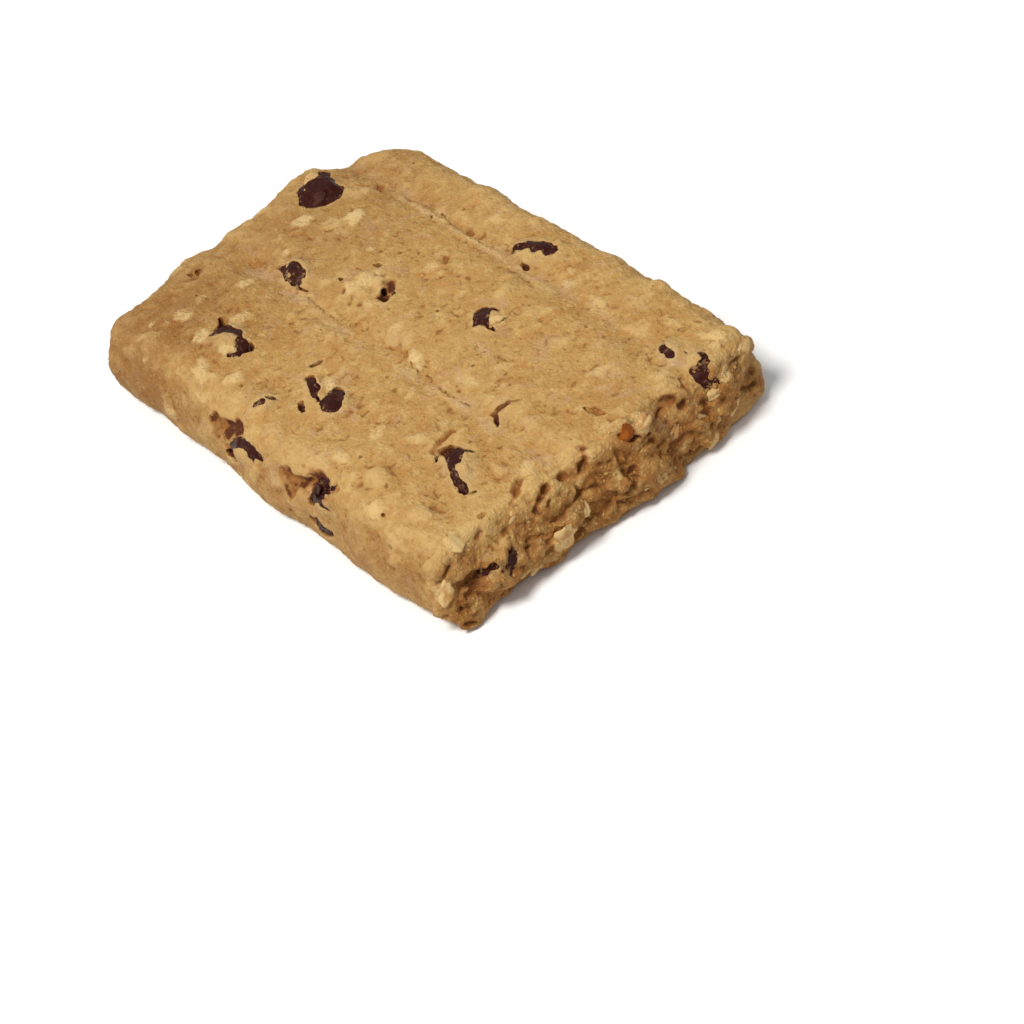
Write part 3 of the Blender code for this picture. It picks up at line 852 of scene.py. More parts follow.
def hollow_share(points):
    """Depth (m) and browning of the broad hollows at the points; browning above about 1 is
    painted shade.
    """
    depth = np.zeros(len(points))
    brown = np.zeros(len(points))
    ragged = layered_noise(points, 1.1 * MM, 53) * 0.62
    points = warped(points, 1.8 * MM, 0.60 * MM, 331)
    points = warped(points, 0.8 * MM, 0.25 * MM, 335)
    for start, end, radius, sunk, browning in HOLLOWS:
        away = away_from_run(points, start, end) / MM
        share = 1.0 - smooth_step(0.15, 1.2, away / radius + ragged)
        depth = np.maximum(depth, share * sunk * MM)
        share = 1.0 - smooth_step(0.15, 1.2, away / (radius + 0.6 * sunk) + ragged)
        brown = np.maximum(brown, smooth_step(0.25, 0.9, share) * browning)
    return depth, brown


def crevice_share(points):
    """1 in the bottom of the crumb's crevices, which run along the end."""
    drawn = points * (1.0, 0.5, 0.9)
    masked = 0.6 * (1.0 - smooth_step(-0.1, 0.5, soft_noise(points, 1.9 * MM, 87)))
    thin = np.abs(layered_noise(drawn, 2.0 * MM, 83)) + masked
    return 1.0 - smooth_step(0.0, 0.22, thin)


def warped(points, size, reach, seed):
    """Points moved by soft noise, so that what is laid out on them loses its even rows."""
    moves = [soft_noise(points, size, seed + axis) for axis in range(3)]
    return points + np.stack(moves, axis=1) * reach


def crumbly(points):
    """Height (m) of the torn crumb of the rough end: ragged ridges drawn out along it."""
    drawn = warped(points, 2.2 * MM, 0.8 * MM, 301) * (1.0, 0.6, 1.0)
    ridges = 0.5 - 1.6 * np.abs(layered_noise(drawn, 2.9 * MM, 201))
    folds = 0.5 - 1.6 * np.abs(layered_noise(drawn, 1.0 * MM, 207, 2))
    grains, _ = pebbles(drawn, 0.62 * MM, 213)
    patches = smooth_step(-0.5, 0.5, soft_noise(points, 2.6 * MM, 211))
    grain = (0.5 - np.clip(grains, 0, 1) ** 2) * (0.10 + 0.12 * patches)
    return (ridges * 0.62 + folds * 0.32 + grain * 0.9 - 0.14) * MM


def nicks(points):
    """1 in the small nicks scattered over the crust."""
    first, _ = pebbles(warped(points, 0.7 * MM, 0.35 * MM, 321) * (0.8, 1.0, 1.0), 2.5 * MM, 241)
    some = smooth_step(0.05, 0.25, soft_noise(points, 3.1 * MM, 243))
    return (1.0 - smooth_step(0.05, 0.15, first)) * some


def ridge_share(points):
    """Height (m) and paleness of the narrow ridges at the points."""
    height = np.zeros(len(points))
    pale = np.zeros(len(points))
    ragged = layered_noise(points, 1.1 * MM, 57) * 0.35
    for start, end, radius, rise, paleness in RIDGES:
        away = away_from_run(points, start, end) / (radius * MM)
        share = 1.0 - smooth_step(0.1, 1.2, away + ragged)
        height = np.maximum(height, share * rise * MM)
        pale = np.maximum(pale, share * paleness)
    return height, pale


def grainy(points):
    """Height (m) of the crust's pressed grains, strong in some patches and weak in others."""
    moved = warped(points, 0.9 * MM, 0.45 * MM, 311)
    first, second = pebbles(moved, 1.15 * MM, 221)
    patches = smooth_step(-0.35, 0.55, layered_noise(points, 4.2 * MM, 227, 2))
    seams = smooth_step(0.1, 0.6, soft_noise(points, 1.9 * MM, 229))
    coarse = (0.55 - np.clip(first, 0, 1) ** 2) * 0.12 * MM
    seam = (1.0 - smooth_step(0.0, 0.22, second - first)) * seams * 0.12 * MM
    fine, _ = pebbles(moved, 0.58 * MM, 231)
    return coarse * patches - seam + (0.5 - np.clip(fine, 0, 1) ** 2) * 0.07 * MM


class Flakes:
    """Oat flakes in the crust: flat ovals that stand a little proud and show pale."""

    def __init__(self, tree, spots, normals, picker):
        self.rows = []
        for place, length, width, turn, height, paleness in PALE_FLAKES:
            spot, normal, _, _ = tree.find_nearest(Vector(place) * MM)
            self.add(spot, normal, length, width, math.radians(turn), height, paleness)
        for spot, normal in zip(spots, normals):
            length = picker.uniform(1.1, 3.0)
            width = length * picker.uniform(0.5, 0.85)
            height = picker.uniform(0.02, 0.11)
            paleness = picker.uniform(0.0, 1.0) ** 2.0 * 0.72
            turn = picker.uniform(0, FULL_TURN)
            self.add(Vector(spot), Vector(normal), length, width, turn, height, paleness)

    def add(self, spot, normal, length, width, turn, height, paleness):
        """Take in one flake: its middle and normal, sizes (mm), turn (radians), paleness."""
        axes = np.array(facing(normal, turn))
        sizes = (length * MM / 2, width * MM / 2, height * MM)
        self.rows.append((np.array(spot), axes, *sizes, paleness))

    def weigh(self, points):
        """Height and paleness of the flakes at the points, and how far they smooth the crumb."""
        ragged = layered_noise(points, 0.9 * MM, 61, 3) * 0.72
        height = np.zeros(len(points))
        pale = np.zeros(len(points))
        smooth = np.zeros(len(points))
        order = np.argsort(points[:, 0])
        ordered = points[order, 0]
        for spot, axes, half_length, half_width, rise, paleness in self.rows:
            span = half_length * 1.5
            low, high = np.searchsorted(ordered, (spot[0] - span, spot[0] + span))
            near = order[low:high]
            near = near[np.abs(points[near] - spot).max(axis=1) < span]
            if not len(near):
                continue
            local = (points[near] - spot) @ axes
            reach = np.hypot(local[:, 0] / half_length, local[:, 1] / half_width) + ragged[near]
            level = np.abs(local[:, 2]) < 1.2 * MM
            cover = (1.0 - smooth_step(0.45, 1.15, reach)) * level
            rim = np.exp(-(((reach - 1.15) / 0.14) ** 2)) * level
            height[near] = np.maximum(height[near], rise * cover) - 0.35 * rise * rim
            pale[near] = np.maximum(pale[near], paleness * cover)
            smooth[near] = np.maximum(smooth[near], smooth_step(0.5, 0.8, paleness) * cover)
        return height, pale, smooth


def roughened(mesh, flakes, settings):
    """Move the fine skin by its lumps, flakes, grooves and grain."""
    points = evened(points_of(mesh), edges_of(mesh), 7)
    set_points(mesh, points)
    normals = normals_of(mesh)
    rough = roughness_of(points)
    under = smooth_step(-0.4, -0.9, normals[:, 2])
    height = settings.ripple * layered_noise(points, 3.2 * MM, 11)
    height += 0.13 * MM * layered_noise(points, 1.2 * MM, 21, 2)
    height += settings.grain * soft_noise(points, 0.5 * MM, 25)
    height += grainy(points) * (1.0 - rough)
    height -= 0.26 * MM * nicks(points) * (1.0 - rough)
    side = smooth_step(0.1, 0.7, 1.0 - np.abs(normals[:, 2]))
    height += 0.15 * MM * side * (1.0 - rough) * layered_noise(points, 2.0 * MM, 45, 2)
    height += rough * crumbly(points)
    height += rough * 0.10 * MM * soft_noise(points, 0.45 * MM, 77)
    height -= rough * 0.60 * MM * crevice_share(points)
    raised, _, smooth = flakes.weigh(points)
    height = height * (1.0 - 0.7 * smooth) + raised * (1.0 - 0.4 * rough)
    height -= 0.06 * MM * groove_share(points) * smooth_step(0.5, 0.9, normals[:, 2])
    height += ridge_share(points)[0] - hollow_share(points)[0]
    base = 0.10 * MM * layered_noise(points, 0.9 * MM, 91, 2) - 0.34 * MM * nicks(points)
    base = base + 0.8 * grainy(points) - hollow_share(points)[0]
    height = height * (1.0 - under) + under * base
    points = held_down(points + normals * height[:, None])
    floor_dip = np.maximum(0.0, layered_noise(points, 2.5 * MM, 95)) * 0.12 * MM
    points[:, 2] = np.maximum(points[:, 2], floor_dip)
    set_points(mesh, points)


def opening_cutter(tree):
    """One closed cutter of all openings, pits and pin holes, with ragged edges."""
    body = bmesh.new()
    for start, end, start_radius, end_radius, depth in OPENINGS:
        first = Vector(start) * MM
        last = Vector(end) * MM
        smallest = min(start_radius, end_radius) * MM
        steps = max(2, math.ceil((last - first).length / (smallest * 0.85)))
        for step in range(steps + 1):
            part = step / steps
            radius = (start_radius + (end_radius - start_radius) * part) * MM
            spot, normal, _, _ = tree.find_nearest(first.lerp(last, part))
            reach = depth * MM * 0.75
            place = spot + normal * (reach * 1.25 - depth * MM)
            blob(body, place, (radius * 1.06, radius * 1.06, reach * 1.25), facing(normal), 2)
    for place, radius in PIN_HOLES:
        spot, normal, _, _ = tree.find_nearest(Vector(place) * MM)
        blob(body, spot, (radius * MM, radius * MM, radius * 2.2 * MM), facing(normal), 2)
    cutter = voxelled(mesh_from(body, "openings"), CUTTER_GRID)
    points = points_of(cutter)
    normals = normals_of(cutter)
    ragged = 0.17 * MM * layered_noise(points, 0.9 * MM, 41)
    ragged = ragged + 0.07 * MM * soft_noise(points, 0.4 * MM, 43)
    set_points(cutter, warped(points, 0.8 * MM, 0.14 * MM, 45) + normals * ragged[:, None])
    return cutter


def darkening_share(points, normals):
    """How far the crust is darkened: most at the smooth end's near corner, then the sides, faces
    turned sideways and the underside.
    """
    corner = smooth_step(0.0, -20.0 * MM, points[:, 1])
    from_end = HALF_LENGTH + points[:, 0]
    from_side = HALF_WIDTH - np.abs(points[:, 1])
    end_border = (0.46 + 0.50 * corner) * (1.0 - smooth_step(8.0 * MM, 33.0 * MM, from_end))
    side_border = 0.45 * (1.0 - smooth_step(0.0, 5.0 * MM, from_side))
    turned = 0.24 * (1.0 - smooth_step(0.1, 0.95, normals[:, 2]))
    turned = turned + 0.30 * smooth_step(-0.5, -0.95, normals[:, 2])
    return np.clip(np.maximum(end_border, side_border) + turned, 0, 1)


def mark_crumb(mesh, tree, flakes):
    """Write what the crumb's material reads: pits, hollows, flakes, darker edges, rough end, and
    the relief that its painted shade and light follow.
    """
    points = points_of(mesh)
    edges = edges_of(mesh)
    normals = normals_of(mesh)
    chips = chip_tree()
    depths = np.array([tree.find_nearest(Vector(point))[3] for point in points])
    gaps = np.array([chips.find_nearest(Vector(point))[3] for point in points])
    pit = smooth_step(0.10 * MM, 0.75 * MM, depths)
    near_pit = relaxed(pit[:, None], edges, 6)[:, 0]
    fine = relaxed(points, edges, 4)
    broad = relaxed(fine, edges, 24)
    wide = relaxed(broad, edges, 90)
    smooth = relaxed(normals, edges, 30)
    # how far each point lies in a dip or on a rise, at three sizes, for the material's painted
    # shade and light
    fine_hollow = np.einsum("ij,ij->i", fine - points, normals) / (0.05 * MM)
    broad_hollow = np.einsum("ij,ij->i", broad - points, normals) / (0.16 * MM)
    wide_hollow = np.einsum("ij,ij->i", wide - broad, normals) / (0.22 * MM)
    _, pale, _ = flakes.weigh(points)
    groove = groove_share(points) * smooth_step(0.3, 0.8, smooth[:, 2])
    sideways = 1.0 - smooth_step(0.2, 0.75, smooth[:, 2])
    valley = np.clip(groove, 0, 1)
    rough = roughness_of(points)
    values = {
        # depth in the openings: caramel walls, then painted shade deeper in
        "pit": np.maximum(pit, np.clip(near_pit * 1.1, 0, 1)),
        # browning of the hollows; above about 1 it is painted shade
        "brown": hollow_share(points)[1],
        "near_chip": 1.0 - smooth_step(0.25 * MM, 1.1 * MM, gaps),
        "fine_hollow": np.clip(fine_hollow - 0.3 * valley, -1, 1),
        "broad_hollow": np.clip(broad_hollow - 0.6 * valley, -1, 1),
        "wide_hollow": np.clip(wide_hollow, -1, 1) * (1.0 - valley),
        "oat": pale * (1.0 - pit),
        "lip": ridge_share(points)[1] * (1.0 - pit),
        "nick": np.clip(nicks(points), 0, 1),
        "torn": rough,
        # the rough end's sideways faces, which the material paints with browner crumb and
        # painted shade
        "rough": rough * sideways,
        "groove": groove,
        # how much darker the crust is made: towards the smooth end, its near corner, the sides
        # and the underside
        "toast": darkening_share(points, smooth),
    }
    for name, share in values.items():
        write_attribute(mesh, name, share)
    Workshop.surfaces = [skin_tree(mesh)]


def chip_tree():
    """All the chips' solids as one search tree."""
    body = bmesh.new()
    for name in CHIP_NODES:
        body.from_mesh(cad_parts[name].data)
    tree = BVHTree.FromBMesh(body)
    body.free()
    return tree


# ---------------------------------------------------------------- materials

# Fixed colours of the baked crumb, next to those that its settings hold.
FLOURY = (0.445, 0.268, 0.140)
RUDDY = (0.430, 0.190, 0.048)
# Multiplied in where the crust is darker: towards the smooth end, its near corner, the sides and
# the underside.
EDGE_DARKENING = (0.54, 0.405, 0.290)
# Grey dust with painted shade along the grooves.
GROOVE_DUST_AND_SHADE = (0.430, 0.262, 0.145)
# Paler crust with a painted highlight along the groove ridges' lips.
LIP_CRUST_AND_HIGHLIGHT = (0.540, 0.365, 0.180)
MELTED_EDGE = (0.390, 0.270, 0.135)
DARK_FLECK = (0.23, 0.090, 0.022)
LIGHT_FLECK = (0.60, 0.42, 0.20)
# Painted shade for the relief's seams and dips, and painted light for its ridges and crests.
PAINTED_SEAM_SHADE = (0.215, 0.078, 0.016)
PAINTED_DIP_SHADE = (0.330, 0.145, 0.034)
PAINTED_RIDGE_LIGHT = (0.560, 0.370, 0.145)
PAINTED_CREST_LIGHT = (0.545, 0.355, 0.135)
# Browner torn crumb with painted shade, for the rough end's sideways faces.
TORN_CRUMB_AND_SHADE = (0.66, 0.46, 0.26)
NICK_BROWN = (0.160, 0.052, 0.012)
BROWNED = (0.250, 0.088, 0.018)
# Painted shade, nearly black, at the bottom of the deepest hollows.
PAINTED_HOLLOW_SHADE = (0.075, 0.018, 0.006)
# Painted shade deep in the pits.
PAINTED_PIT_SHADE = (0.065, 0.014, 0.004)
# Painted shade in the gaps between the crumb's grains, and painted light on their tops.
PAINTED_GRAIN_GAP_SHADE = (0.200, 0.076, 0.018)
PAINTED_GRAIN_TOP_LIGHT = (0.600, 0.400, 0.180)

# Fixed colours of the chips, flakes, nut bits and crumbs.
SHADED_CHOCOLATE = (0.018, 0.0035, 0.0025)
CHOCOLATE_GLOSS = (1.0, 0.62, 0.52)
DOUGH_SMEAR = (0.330, 0.190, 0.080)
DOUGH_DUST = (0.30, 0.17, 0.08)
TOASTED_OAT = (0.40, 0.19, 0.05)
OAT_STREAK = (0.66, 0.48, 0.22)
DARK_NUT = (0.150, 0.036, 0.005)
NUT_GLOSS = (1.0, 0.75, 0.5)
DARK_CRUMB = (0.280, 0.130, 0.036)
LIGHT_CRUMB = (0.440, 0.260, 0.085)

# How far light goes in the crumb and the flakes.
SOFT_DEPTH = 0.5 * MM


class Nodes:
    """A short way to write a material's node tree, its colour laid up coat by coat."""

    def __init__(self, name, colour):
        self.material = bpy.data.materials.new(name)
        self.material.use_nodes = True
        self.tree = self.material.node_tree
        self.shader = self.tree.nodes["Principled BSDF"]
        self.colour = colour

    def node(self, kind, **settings):
        node = self.tree.nodes.new(kind)
        for key, value in settings.items():
            setattr(node, key, value)
        return node

    def feed(self, socket, value):
        """Set a socket to a number, a colour or another socket."""
        if isinstance(value, bpy.types.NodeSocket):
            self.tree.links.new(value, socket)
        elif isinstance(socket.default_value, float):
            socket.default_value = value
        elif len(value) == 3 and len(socket.default_value) == 4:
            socket.default_value = (*value, 1.0)
        else:
            socket.default_value = value

    def pattern(self, kind, size, **values):
        """A pattern node on the piece's own coordinates, with lumps of a size in metres."""
        node = self.node(kind)
        place = self.node("ShaderNodeTexCoord").outputs["Object"]
        self.feed(node.inputs["Vector"], place)
        node.inputs["Scale"].default_value = 1.0 / size
        for key, value in values.items():
            node.inputs[key].default_value = value
        return node

    def noise(self, size, detail=3.0, roughness=0.6, distortion=0.0):
        node = self.pattern(
            "ShaderNodeTexNoise", size, Detail=detail, Roughness=roughness, Distortion=distortion
        )
        return node.outputs["Fac"]

    def cells(self, size):
        """Distance to the nearest of scattered points, in units of size."""
        return self.pattern("ShaderNodeTexVoronoi", size).outputs["Distance"]

    def attribute(self, name):
        return self.node("ShaderNodeAttribute", attribute_name=name).outputs["Fac"]

    def ramp(self, value, low, high, start=0.0, end=1.0):
        """Map a value from low..high to start..end, held at both ends."""
        node = self.node("ShaderNodeMapRange", interpolation_type="SMOOTHSTEP")
        self.feed(node.inputs["Value"], value)
        numbers = {"From Min": low, "From Max": high, "To Min": start, "To Max": end}
        for key, number in numbers.items():
            node.inputs[key].default_value = number
        return node.outputs["Result"]

    def math(self, operation, first, second):
        node = self.node("ShaderNodeMath", operation=operation)
        self.feed(node.inputs[0], first)
        self.feed(node.inputs[1], second)
        return node.outputs["Value"]

    def times(self, first, second):
        return self.math("MULTIPLY", first, second)

    def masked(self, name, value, low, high, start, end):
        """An attribute times a value mapped from low..high to start..end."""
        return self.times(self.attribute(name), self.ramp(value, low, high, start, end))

    def paint(self, mask, colour, blend="MIX"):
        """Lay a colour over the one so far where the mask is high."""
        node = self.node("ShaderNodeMix", data_type="RGBA", blend_type=blend)
        self.feed(node.inputs[0], mask)
        self.feed(node.inputs[6], self.colour)
        self.feed(node.inputs[7], colour)
        self.colour = node.outputs[2]

    def bump(self, height, strength, distance, below=None):
        node = self.node("ShaderNodeBump")
        node.inputs["Strength"].default_value = strength
        node.inputs["Distance"].default_value = distance
        self.feed(node.inputs["Height"], height)
        if below is not None:
            self.feed(node.inputs["Normal"], below)
        return node.outputs["Normal"]

    def finish(self, roughness, normal=None, **sockets):
        self.feed(self.shader.inputs["Base Color"], self.colour)
        self.feed(self.shader.inputs["Roughness"], roughness)
        if normal is not None:
            self.feed(self.shader.inputs["Normal"], normal)
        for key, value in sockets.items():
            self.feed(self.shader.inputs[key.replace("_", " ")], value)
        return self.material


def crumb_material(settings):
    """Baked oat crumb: mottled gold, paler oats, caramel pits and a dry grain, with painted
    shade in its dips, gaps and depths and painted light on its ridges and grain tops.
    """
    nodes = Nodes("baked_crumb", settings.crust)
    broad = nodes.noise(6.0 * MM)
    patch = nodes.noise(1.7 * MM, 4.0, 0.65)
    fleck = nodes.noise(0.50 * MM, 3.0, 0.7)
    grain = nodes.noise(0.22 * MM, 2.0, 0.7)
    dusty = nodes.noise(3.1 * MM, 4.0, 0.7, 0.6)
    grains = nodes.cells(0.46 * MM)
    pores = nodes.ramp(nodes.cells(0.75 * MM), 0.10, 0.26)

    # the mottled crust, darker towards the smooth end and the edges
    nodes.paint(nodes.ramp(broad, 0.42, 0.64, 0.0, 0.60), settings.warm)
    nodes.paint(nodes.ramp(patch, 0.49, 0.70, 0.0, 0.85), settings.pale)
    nodes.paint(nodes.ramp(patch, 0.48, 0.30, 0.0, 0.75), settings.warm)
    nodes.paint(nodes.ramp(dusty, 0.54, 0.66, 0.0, 0.60), FLOURY)
    nodes.paint(nodes.ramp(dusty, 0.46, 0.32, 0.0, 0.60), RUDDY)
    # darker towards the smooth end, its near corner, the sides and the underside
    toast = nodes.masked("toast", broad, 0.3, 0.6, 1.0, 0.80)
    nodes.paint(toast, EDGE_DARKENING, "MULTIPLY")

    # flakes, grooves and flecks
    nodes.paint(nodes.masked("oat", fleck, 0.33, 0.57, 0.25, 1.0), settings.flake)
    # the grooves' greyer tone: grey dust and painted shade along the valleys
    nodes.paint(nodes.masked("groove", dusty, 0.42, 0.60, 0.0, 0.50), GROOVE_DUST_AND_SHADE)
    # pale lips of the ridges: paler crust and a painted highlight
    nodes.paint(nodes.masked("lip", fleck, 0.30, 0.62, 0.45, 0.95), LIP_CRUST_AND_HIGHLIGHT)
    nodes.paint(nodes.masked("near_chip", fleck, 0.35, 0.6, 0.1, 0.6), MELTED_EDGE)
    nodes.paint(nodes.ramp(fleck, 0.40, 0.27, 0.0, 0.52), DARK_FLECK)
    nodes.paint(nodes.ramp(grain, 0.57, 0.72, 0.0, 0.42), LIGHT_FLECK)

    # painted shade in the dips, and painted light on the ridges and crests, weaker where the
    # crust is darkened
    relief = nodes.attribute("broad_hollow")
    swell = nodes.attribute("wide_hollow")
    seams = nodes.ramp(nodes.attribute("fine_hollow"), 0.35, 1.2, 0.0, 0.35)
    dip_shade = nodes.math("ADD", seams, nodes.ramp(relief, 0.20, 1.0, 0.0, 0.62))
    nodes.paint(nodes.math("MINIMUM", dip_shade, 0.9), PAINTED_SEAM_SHADE)
    nodes.paint(nodes.ramp(swell, 0.1, 1.0, 0.0, 0.52), PAINTED_DIP_SHADE)
    plain = nodes.math("SUBTRACT", 1.0, nodes.times(toast, 0.8))
    ridges = nodes.ramp(relief, -0.15, -1.0, 0.0, 0.48)
    nodes.paint(nodes.times(ridges, plain), PAINTED_RIDGE_LIGHT)
    crest_light = nodes.ramp(swell, -0.1, -1.0, 0.0, 0.28)
    nodes.paint(nodes.times(crest_light, plain), PAINTED_CREST_LIGHT)

    # the torn end's sideways faces, browner crumb with painted shade; nicks; browned hollows
    # with painted shade at their bottoms; pits, caramel with painted shade deeper in
    bare = nodes.ramp(nodes.attribute("oat"), 0.2, 0.8, 1.0, 0.12)
    # the torn end's sideways faces: browner crumb and painted shade
    shade = nodes.masked("rough", patch, 0.35, 0.70, 1.0, 0.45)
    nodes.paint(nodes.times(shade, bare), TORN_CRUMB_AND_SHADE, "MULTIPLY")
    nodes.paint(nodes.times(nodes.attribute("nick"), 0.50), NICK_BROWN)
    nodes.paint(nodes.masked("brown", patch, 0.3, 0.7, 0.9, 0.5), BROWNED)
    # the deepest hollows' bottoms: painted shade, nearly black
    nodes.paint(nodes.ramp(nodes.attribute("brown"), 0.85, 1.40, 0.0, 0.95), PAINTED_HOLLOW_SHADE)
    pit = nodes.attribute("pit")
    # pits: caramel browning on their walls, then painted shade deeper in
    nodes.paint(nodes.ramp(pit, 0.05, 0.55), settings.caramel)
    nodes.paint(nodes.ramp(pit, 0.34, 0.80), PAINTED_PIT_SHADE)

    # grains of the crumb, strongest on the torn end: painted shade in the gaps between them and
    # painted light on their tops
    torn = nodes.attribute("torn")
    gaps = nodes.times(nodes.ramp(grains, 0.38, 0.66), nodes.ramp(torn, 0.0, 1.0, 0.10, 0.38))
    nodes.paint(nodes.times(gaps, bare), PAINTED_GRAIN_GAP_SHADE)
    grain_top_light = nodes.times(nodes.ramp(grains, 0.26, 0.08), nodes.ramp(torn, 0.0, 1.0, 0.12, 0.30))
    nodes.paint(grain_top_light, PAINTED_GRAIN_TOP_LIGHT)

    height = nodes.math("ADD", nodes.times(fleck, 0.6), nodes.times(grain, 0.4))
    normal = nodes.bump(height, 0.8, 0.25 * MM)
    domes = nodes.ramp(grains, 0.05, 0.62, 1.0, 0.0)
    mounds = nodes.times(domes, nodes.ramp(torn, 0.0, 1.0, 0.35, 0.75))
    normal = nodes.bump(mounds, 0.8, 0.20 * MM, normal)
    normal = nodes.bump(pores, 0.55, 0.14 * MM, normal)
    return nodes.finish(
        nodes.ramp(fleck, 0.3, 0.7, 0.68, 0.90), normal, Specular_IOR_Level=0.18,
        Subsurface_Weight=0.10, Subsurface_Radius=(0.9, 0.40, 0.15), Subsurface_Scale=SOFT_DEPTH,
    )


def chocolate_material(settings):
    """Dark chocolate: satin, with a dusty bloom, fine scuffs and smears of dough."""
    nodes = Nodes("dark_chocolate_finish", settings.colour)
    dust = nodes.noise(1.2 * MM, 4.0, 0.7)
    scuff = nodes.noise(0.30 * MM, 3.0, 0.7)
    mottle = nodes.noise(0.50 * MM, 3.0, 0.7)
    streak = nodes.noise(0.55 * MM, 3.0, 0.65)
    nodes.paint(nodes.ramp(dust, 0.50, 0.70, 0.0, 0.55), settings.bloom)
    nodes.paint(nodes.ramp(mottle, 0.48, 0.34, 0.0, 0.7), SHADED_CHOCOLATE)
    nodes.paint(nodes.masked("edge", streak, 0.55, 0.66, 0.0, 0.75), DOUGH_SMEAR)
    nodes.paint(nodes.ramp(scuff, 0.68, 0.73, 0.0, 0.5), DOUGH_DUST)
    height = nodes.math("ADD", nodes.times(mottle, 0.6), nodes.times(scuff, 0.4))
    normal = nodes.bump(height, 0.5, 0.14 * MM)
    rough = nodes.ramp(dust, 0.3, 0.7, 0.32, 0.58)
    return nodes.finish(rough, normal, Specular_IOR_Level=0.14, Specular_Tint=CHOCOLATE_GLOSS)


def oat_material(settings):
    """Bare oat flake: pale, faintly streaked, toasted in places."""
    nodes = Nodes("oat_flake_finish", settings.oat)
    streak = nodes.noise(0.35 * MM, 3.0, 0.7)
    nodes.paint(nodes.ramp(nodes.noise(1.4 * MM), 0.45, 0.62, 0.0, 0.9), TOASTED_OAT)
    nodes.paint(nodes.ramp(streak, 0.55, 0.75, 0.0, 0.45), OAT_STREAK)
    return nodes.finish(
        0.7, nodes.bump(streak, 0.5, 0.10 * MM), Specular_IOR_Level=0.35,
        Subsurface_Weight=0.2, Subsurface_Radius=(0.9, 0.6, 0.3), Subsurface_Scale=SOFT_DEPTH,
    )


def nut_material(settings):
    """Toasted nut bit: red-brown skin with a soft gloss."""
    nodes = Nodes("nut_finish", settings.nut)
    toast = nodes.noise(0.9 * MM)
    nodes.paint(nodes.ramp(toast, 0.45, 0.65), DARK_NUT)
    normal = nodes.bump(toast, 0.5, 0.14 * MM)
    return nodes.finish(0.5, normal, Specular_IOR_Level=0.12, Specular_Tint=NUT_GLOSS)


def crumb_bit_material():
    """Small loose crumbs: the crumb's colours, each a little different."""
    nodes = Nodes("crumb_bits", DARK_CRUMB)
    nodes.paint(nodes.ramp(nodes.noise(0.9 * MM, 2.0), 0.35, 0.65), LIGHT_CRUMB)
    normal = nodes.bump(nodes.noise(0.25 * MM, 3.0, 0.7), 0.5, 0.10 * MM)
    return nodes.finish(0.85, normal, Specular_IOR_Level=0.3)


# ---------------------------------------------------------------- pieces


def make_dough(settings):
    """The dough as one skin, its relief worked in and its openings cut."""
    picker = np.random.default_rng(7)
    skin = whole_skin()

    def everywhere(centres, normals):
        return np.ones(len(centres))

    spots, flake_normals = random_skin_spots(skin, CRUST_FLAKES, picker, everywhere)
    flakes = Flakes(skin_tree(skin), spots, flake_normals, picker)
    Workshop.skin = skin
    fine = fine_skin(skin, picker, settings.voxel)
    roughened(fine, flakes, settings)
    tree = skin_tree(fine)
    Workshop.crust = tree
    mesh = thinned(cut_away(fine, opening_cutter(tree)), settings.triangles)
    mark_crumb(mesh, tree, flakes)
    mesh.name = "dough_crumb"
    mesh.materials.clear()
    mesh.materials.append(crumb_material(settings))
    mesh.shade_smooth()
    return new_object("dough_crumb", mesh)


def proud_by(name, points):
    """How far the points of a chip may stand over the level that chips end at (m)."""
    middle = points.mean(axis=0)
    reach = np.linalg.norm(points[:, :2] - middle[:2], axis=1) / CHIP_DOME
    return PROUD_CHIPS.get(name, 0.0) * MM * (1.0 - smooth_step(0.2, 1.2, reach))


def make_chip(name, settings, material):
    """A chip worked up from its solid: it fills its pocket and stops just under the crust."""
    body = bmesh.new()
    grown = grown_chip(name, settings.fill + WIDE_CHIPS.get(name, 0.0) * MM)
    body.from_mesh(grown)
    for place, half_sizes in CHIP_LOBES.get(name, ()):
        blob(body, Vector(place) * MM, Vector(half_sizes) * MM, Matrix.Identity(3), 2)
    body.to_mesh(grown)
    body.free()
    mesh = voxelled(grown, CHIP_GRID)
    bpy.data.meshes.remove(grown)
    mesh.name = name + "_chocolate"
    edges = edges_of(mesh)
    points = evened(points_of(mesh), edges, 4)
    set_points(mesh, points)
    normals = normals_of(mesh)
    height = 0.20 * MM * layered_noise(points, 1.8 * MM, 131)
    height = height + 0.06 * MM * soft_noise(points, 0.7 * MM, 133)
    points = points + normals * height[:, None]
    sunk = 0.14 * MM + 0.16 * MM * layered_noise(points, 1.5 * MM, 137) - proud_by(name, points)
    for index, point in enumerate(points):
        spot, normal, _, _ = Workshop.crust.find_nearest(Vector(point))
        short = sunk[index] - (spot - Vector(point)).dot(normal)
        if short > 0:
            points[index] -= np.array(normal) * short
    points[:, 2] = np.maximum(points[:, 2], 0.12 * MM)
    points = held_down(relaxed(points, edges, 1))
    set_points(mesh, points)
    gaps = np.array([Workshop.surfaces[0].find_nearest(Vector(point))[3] for point in points])
    edge = 1.0 - smooth_step(0.10 * MM, 0.65 * MM, gaps)
    write_attribute(mesh, "edge", edge * (0.4 if name in WIDE_CHIPS else 1.0))
    Workshop.surfaces.append(skin_tree(mesh))
    mesh.materials.clear()
    mesh.materials.append(material)
    mesh.shade_smooth()
    return new_object(name + "_chocolate", mesh)


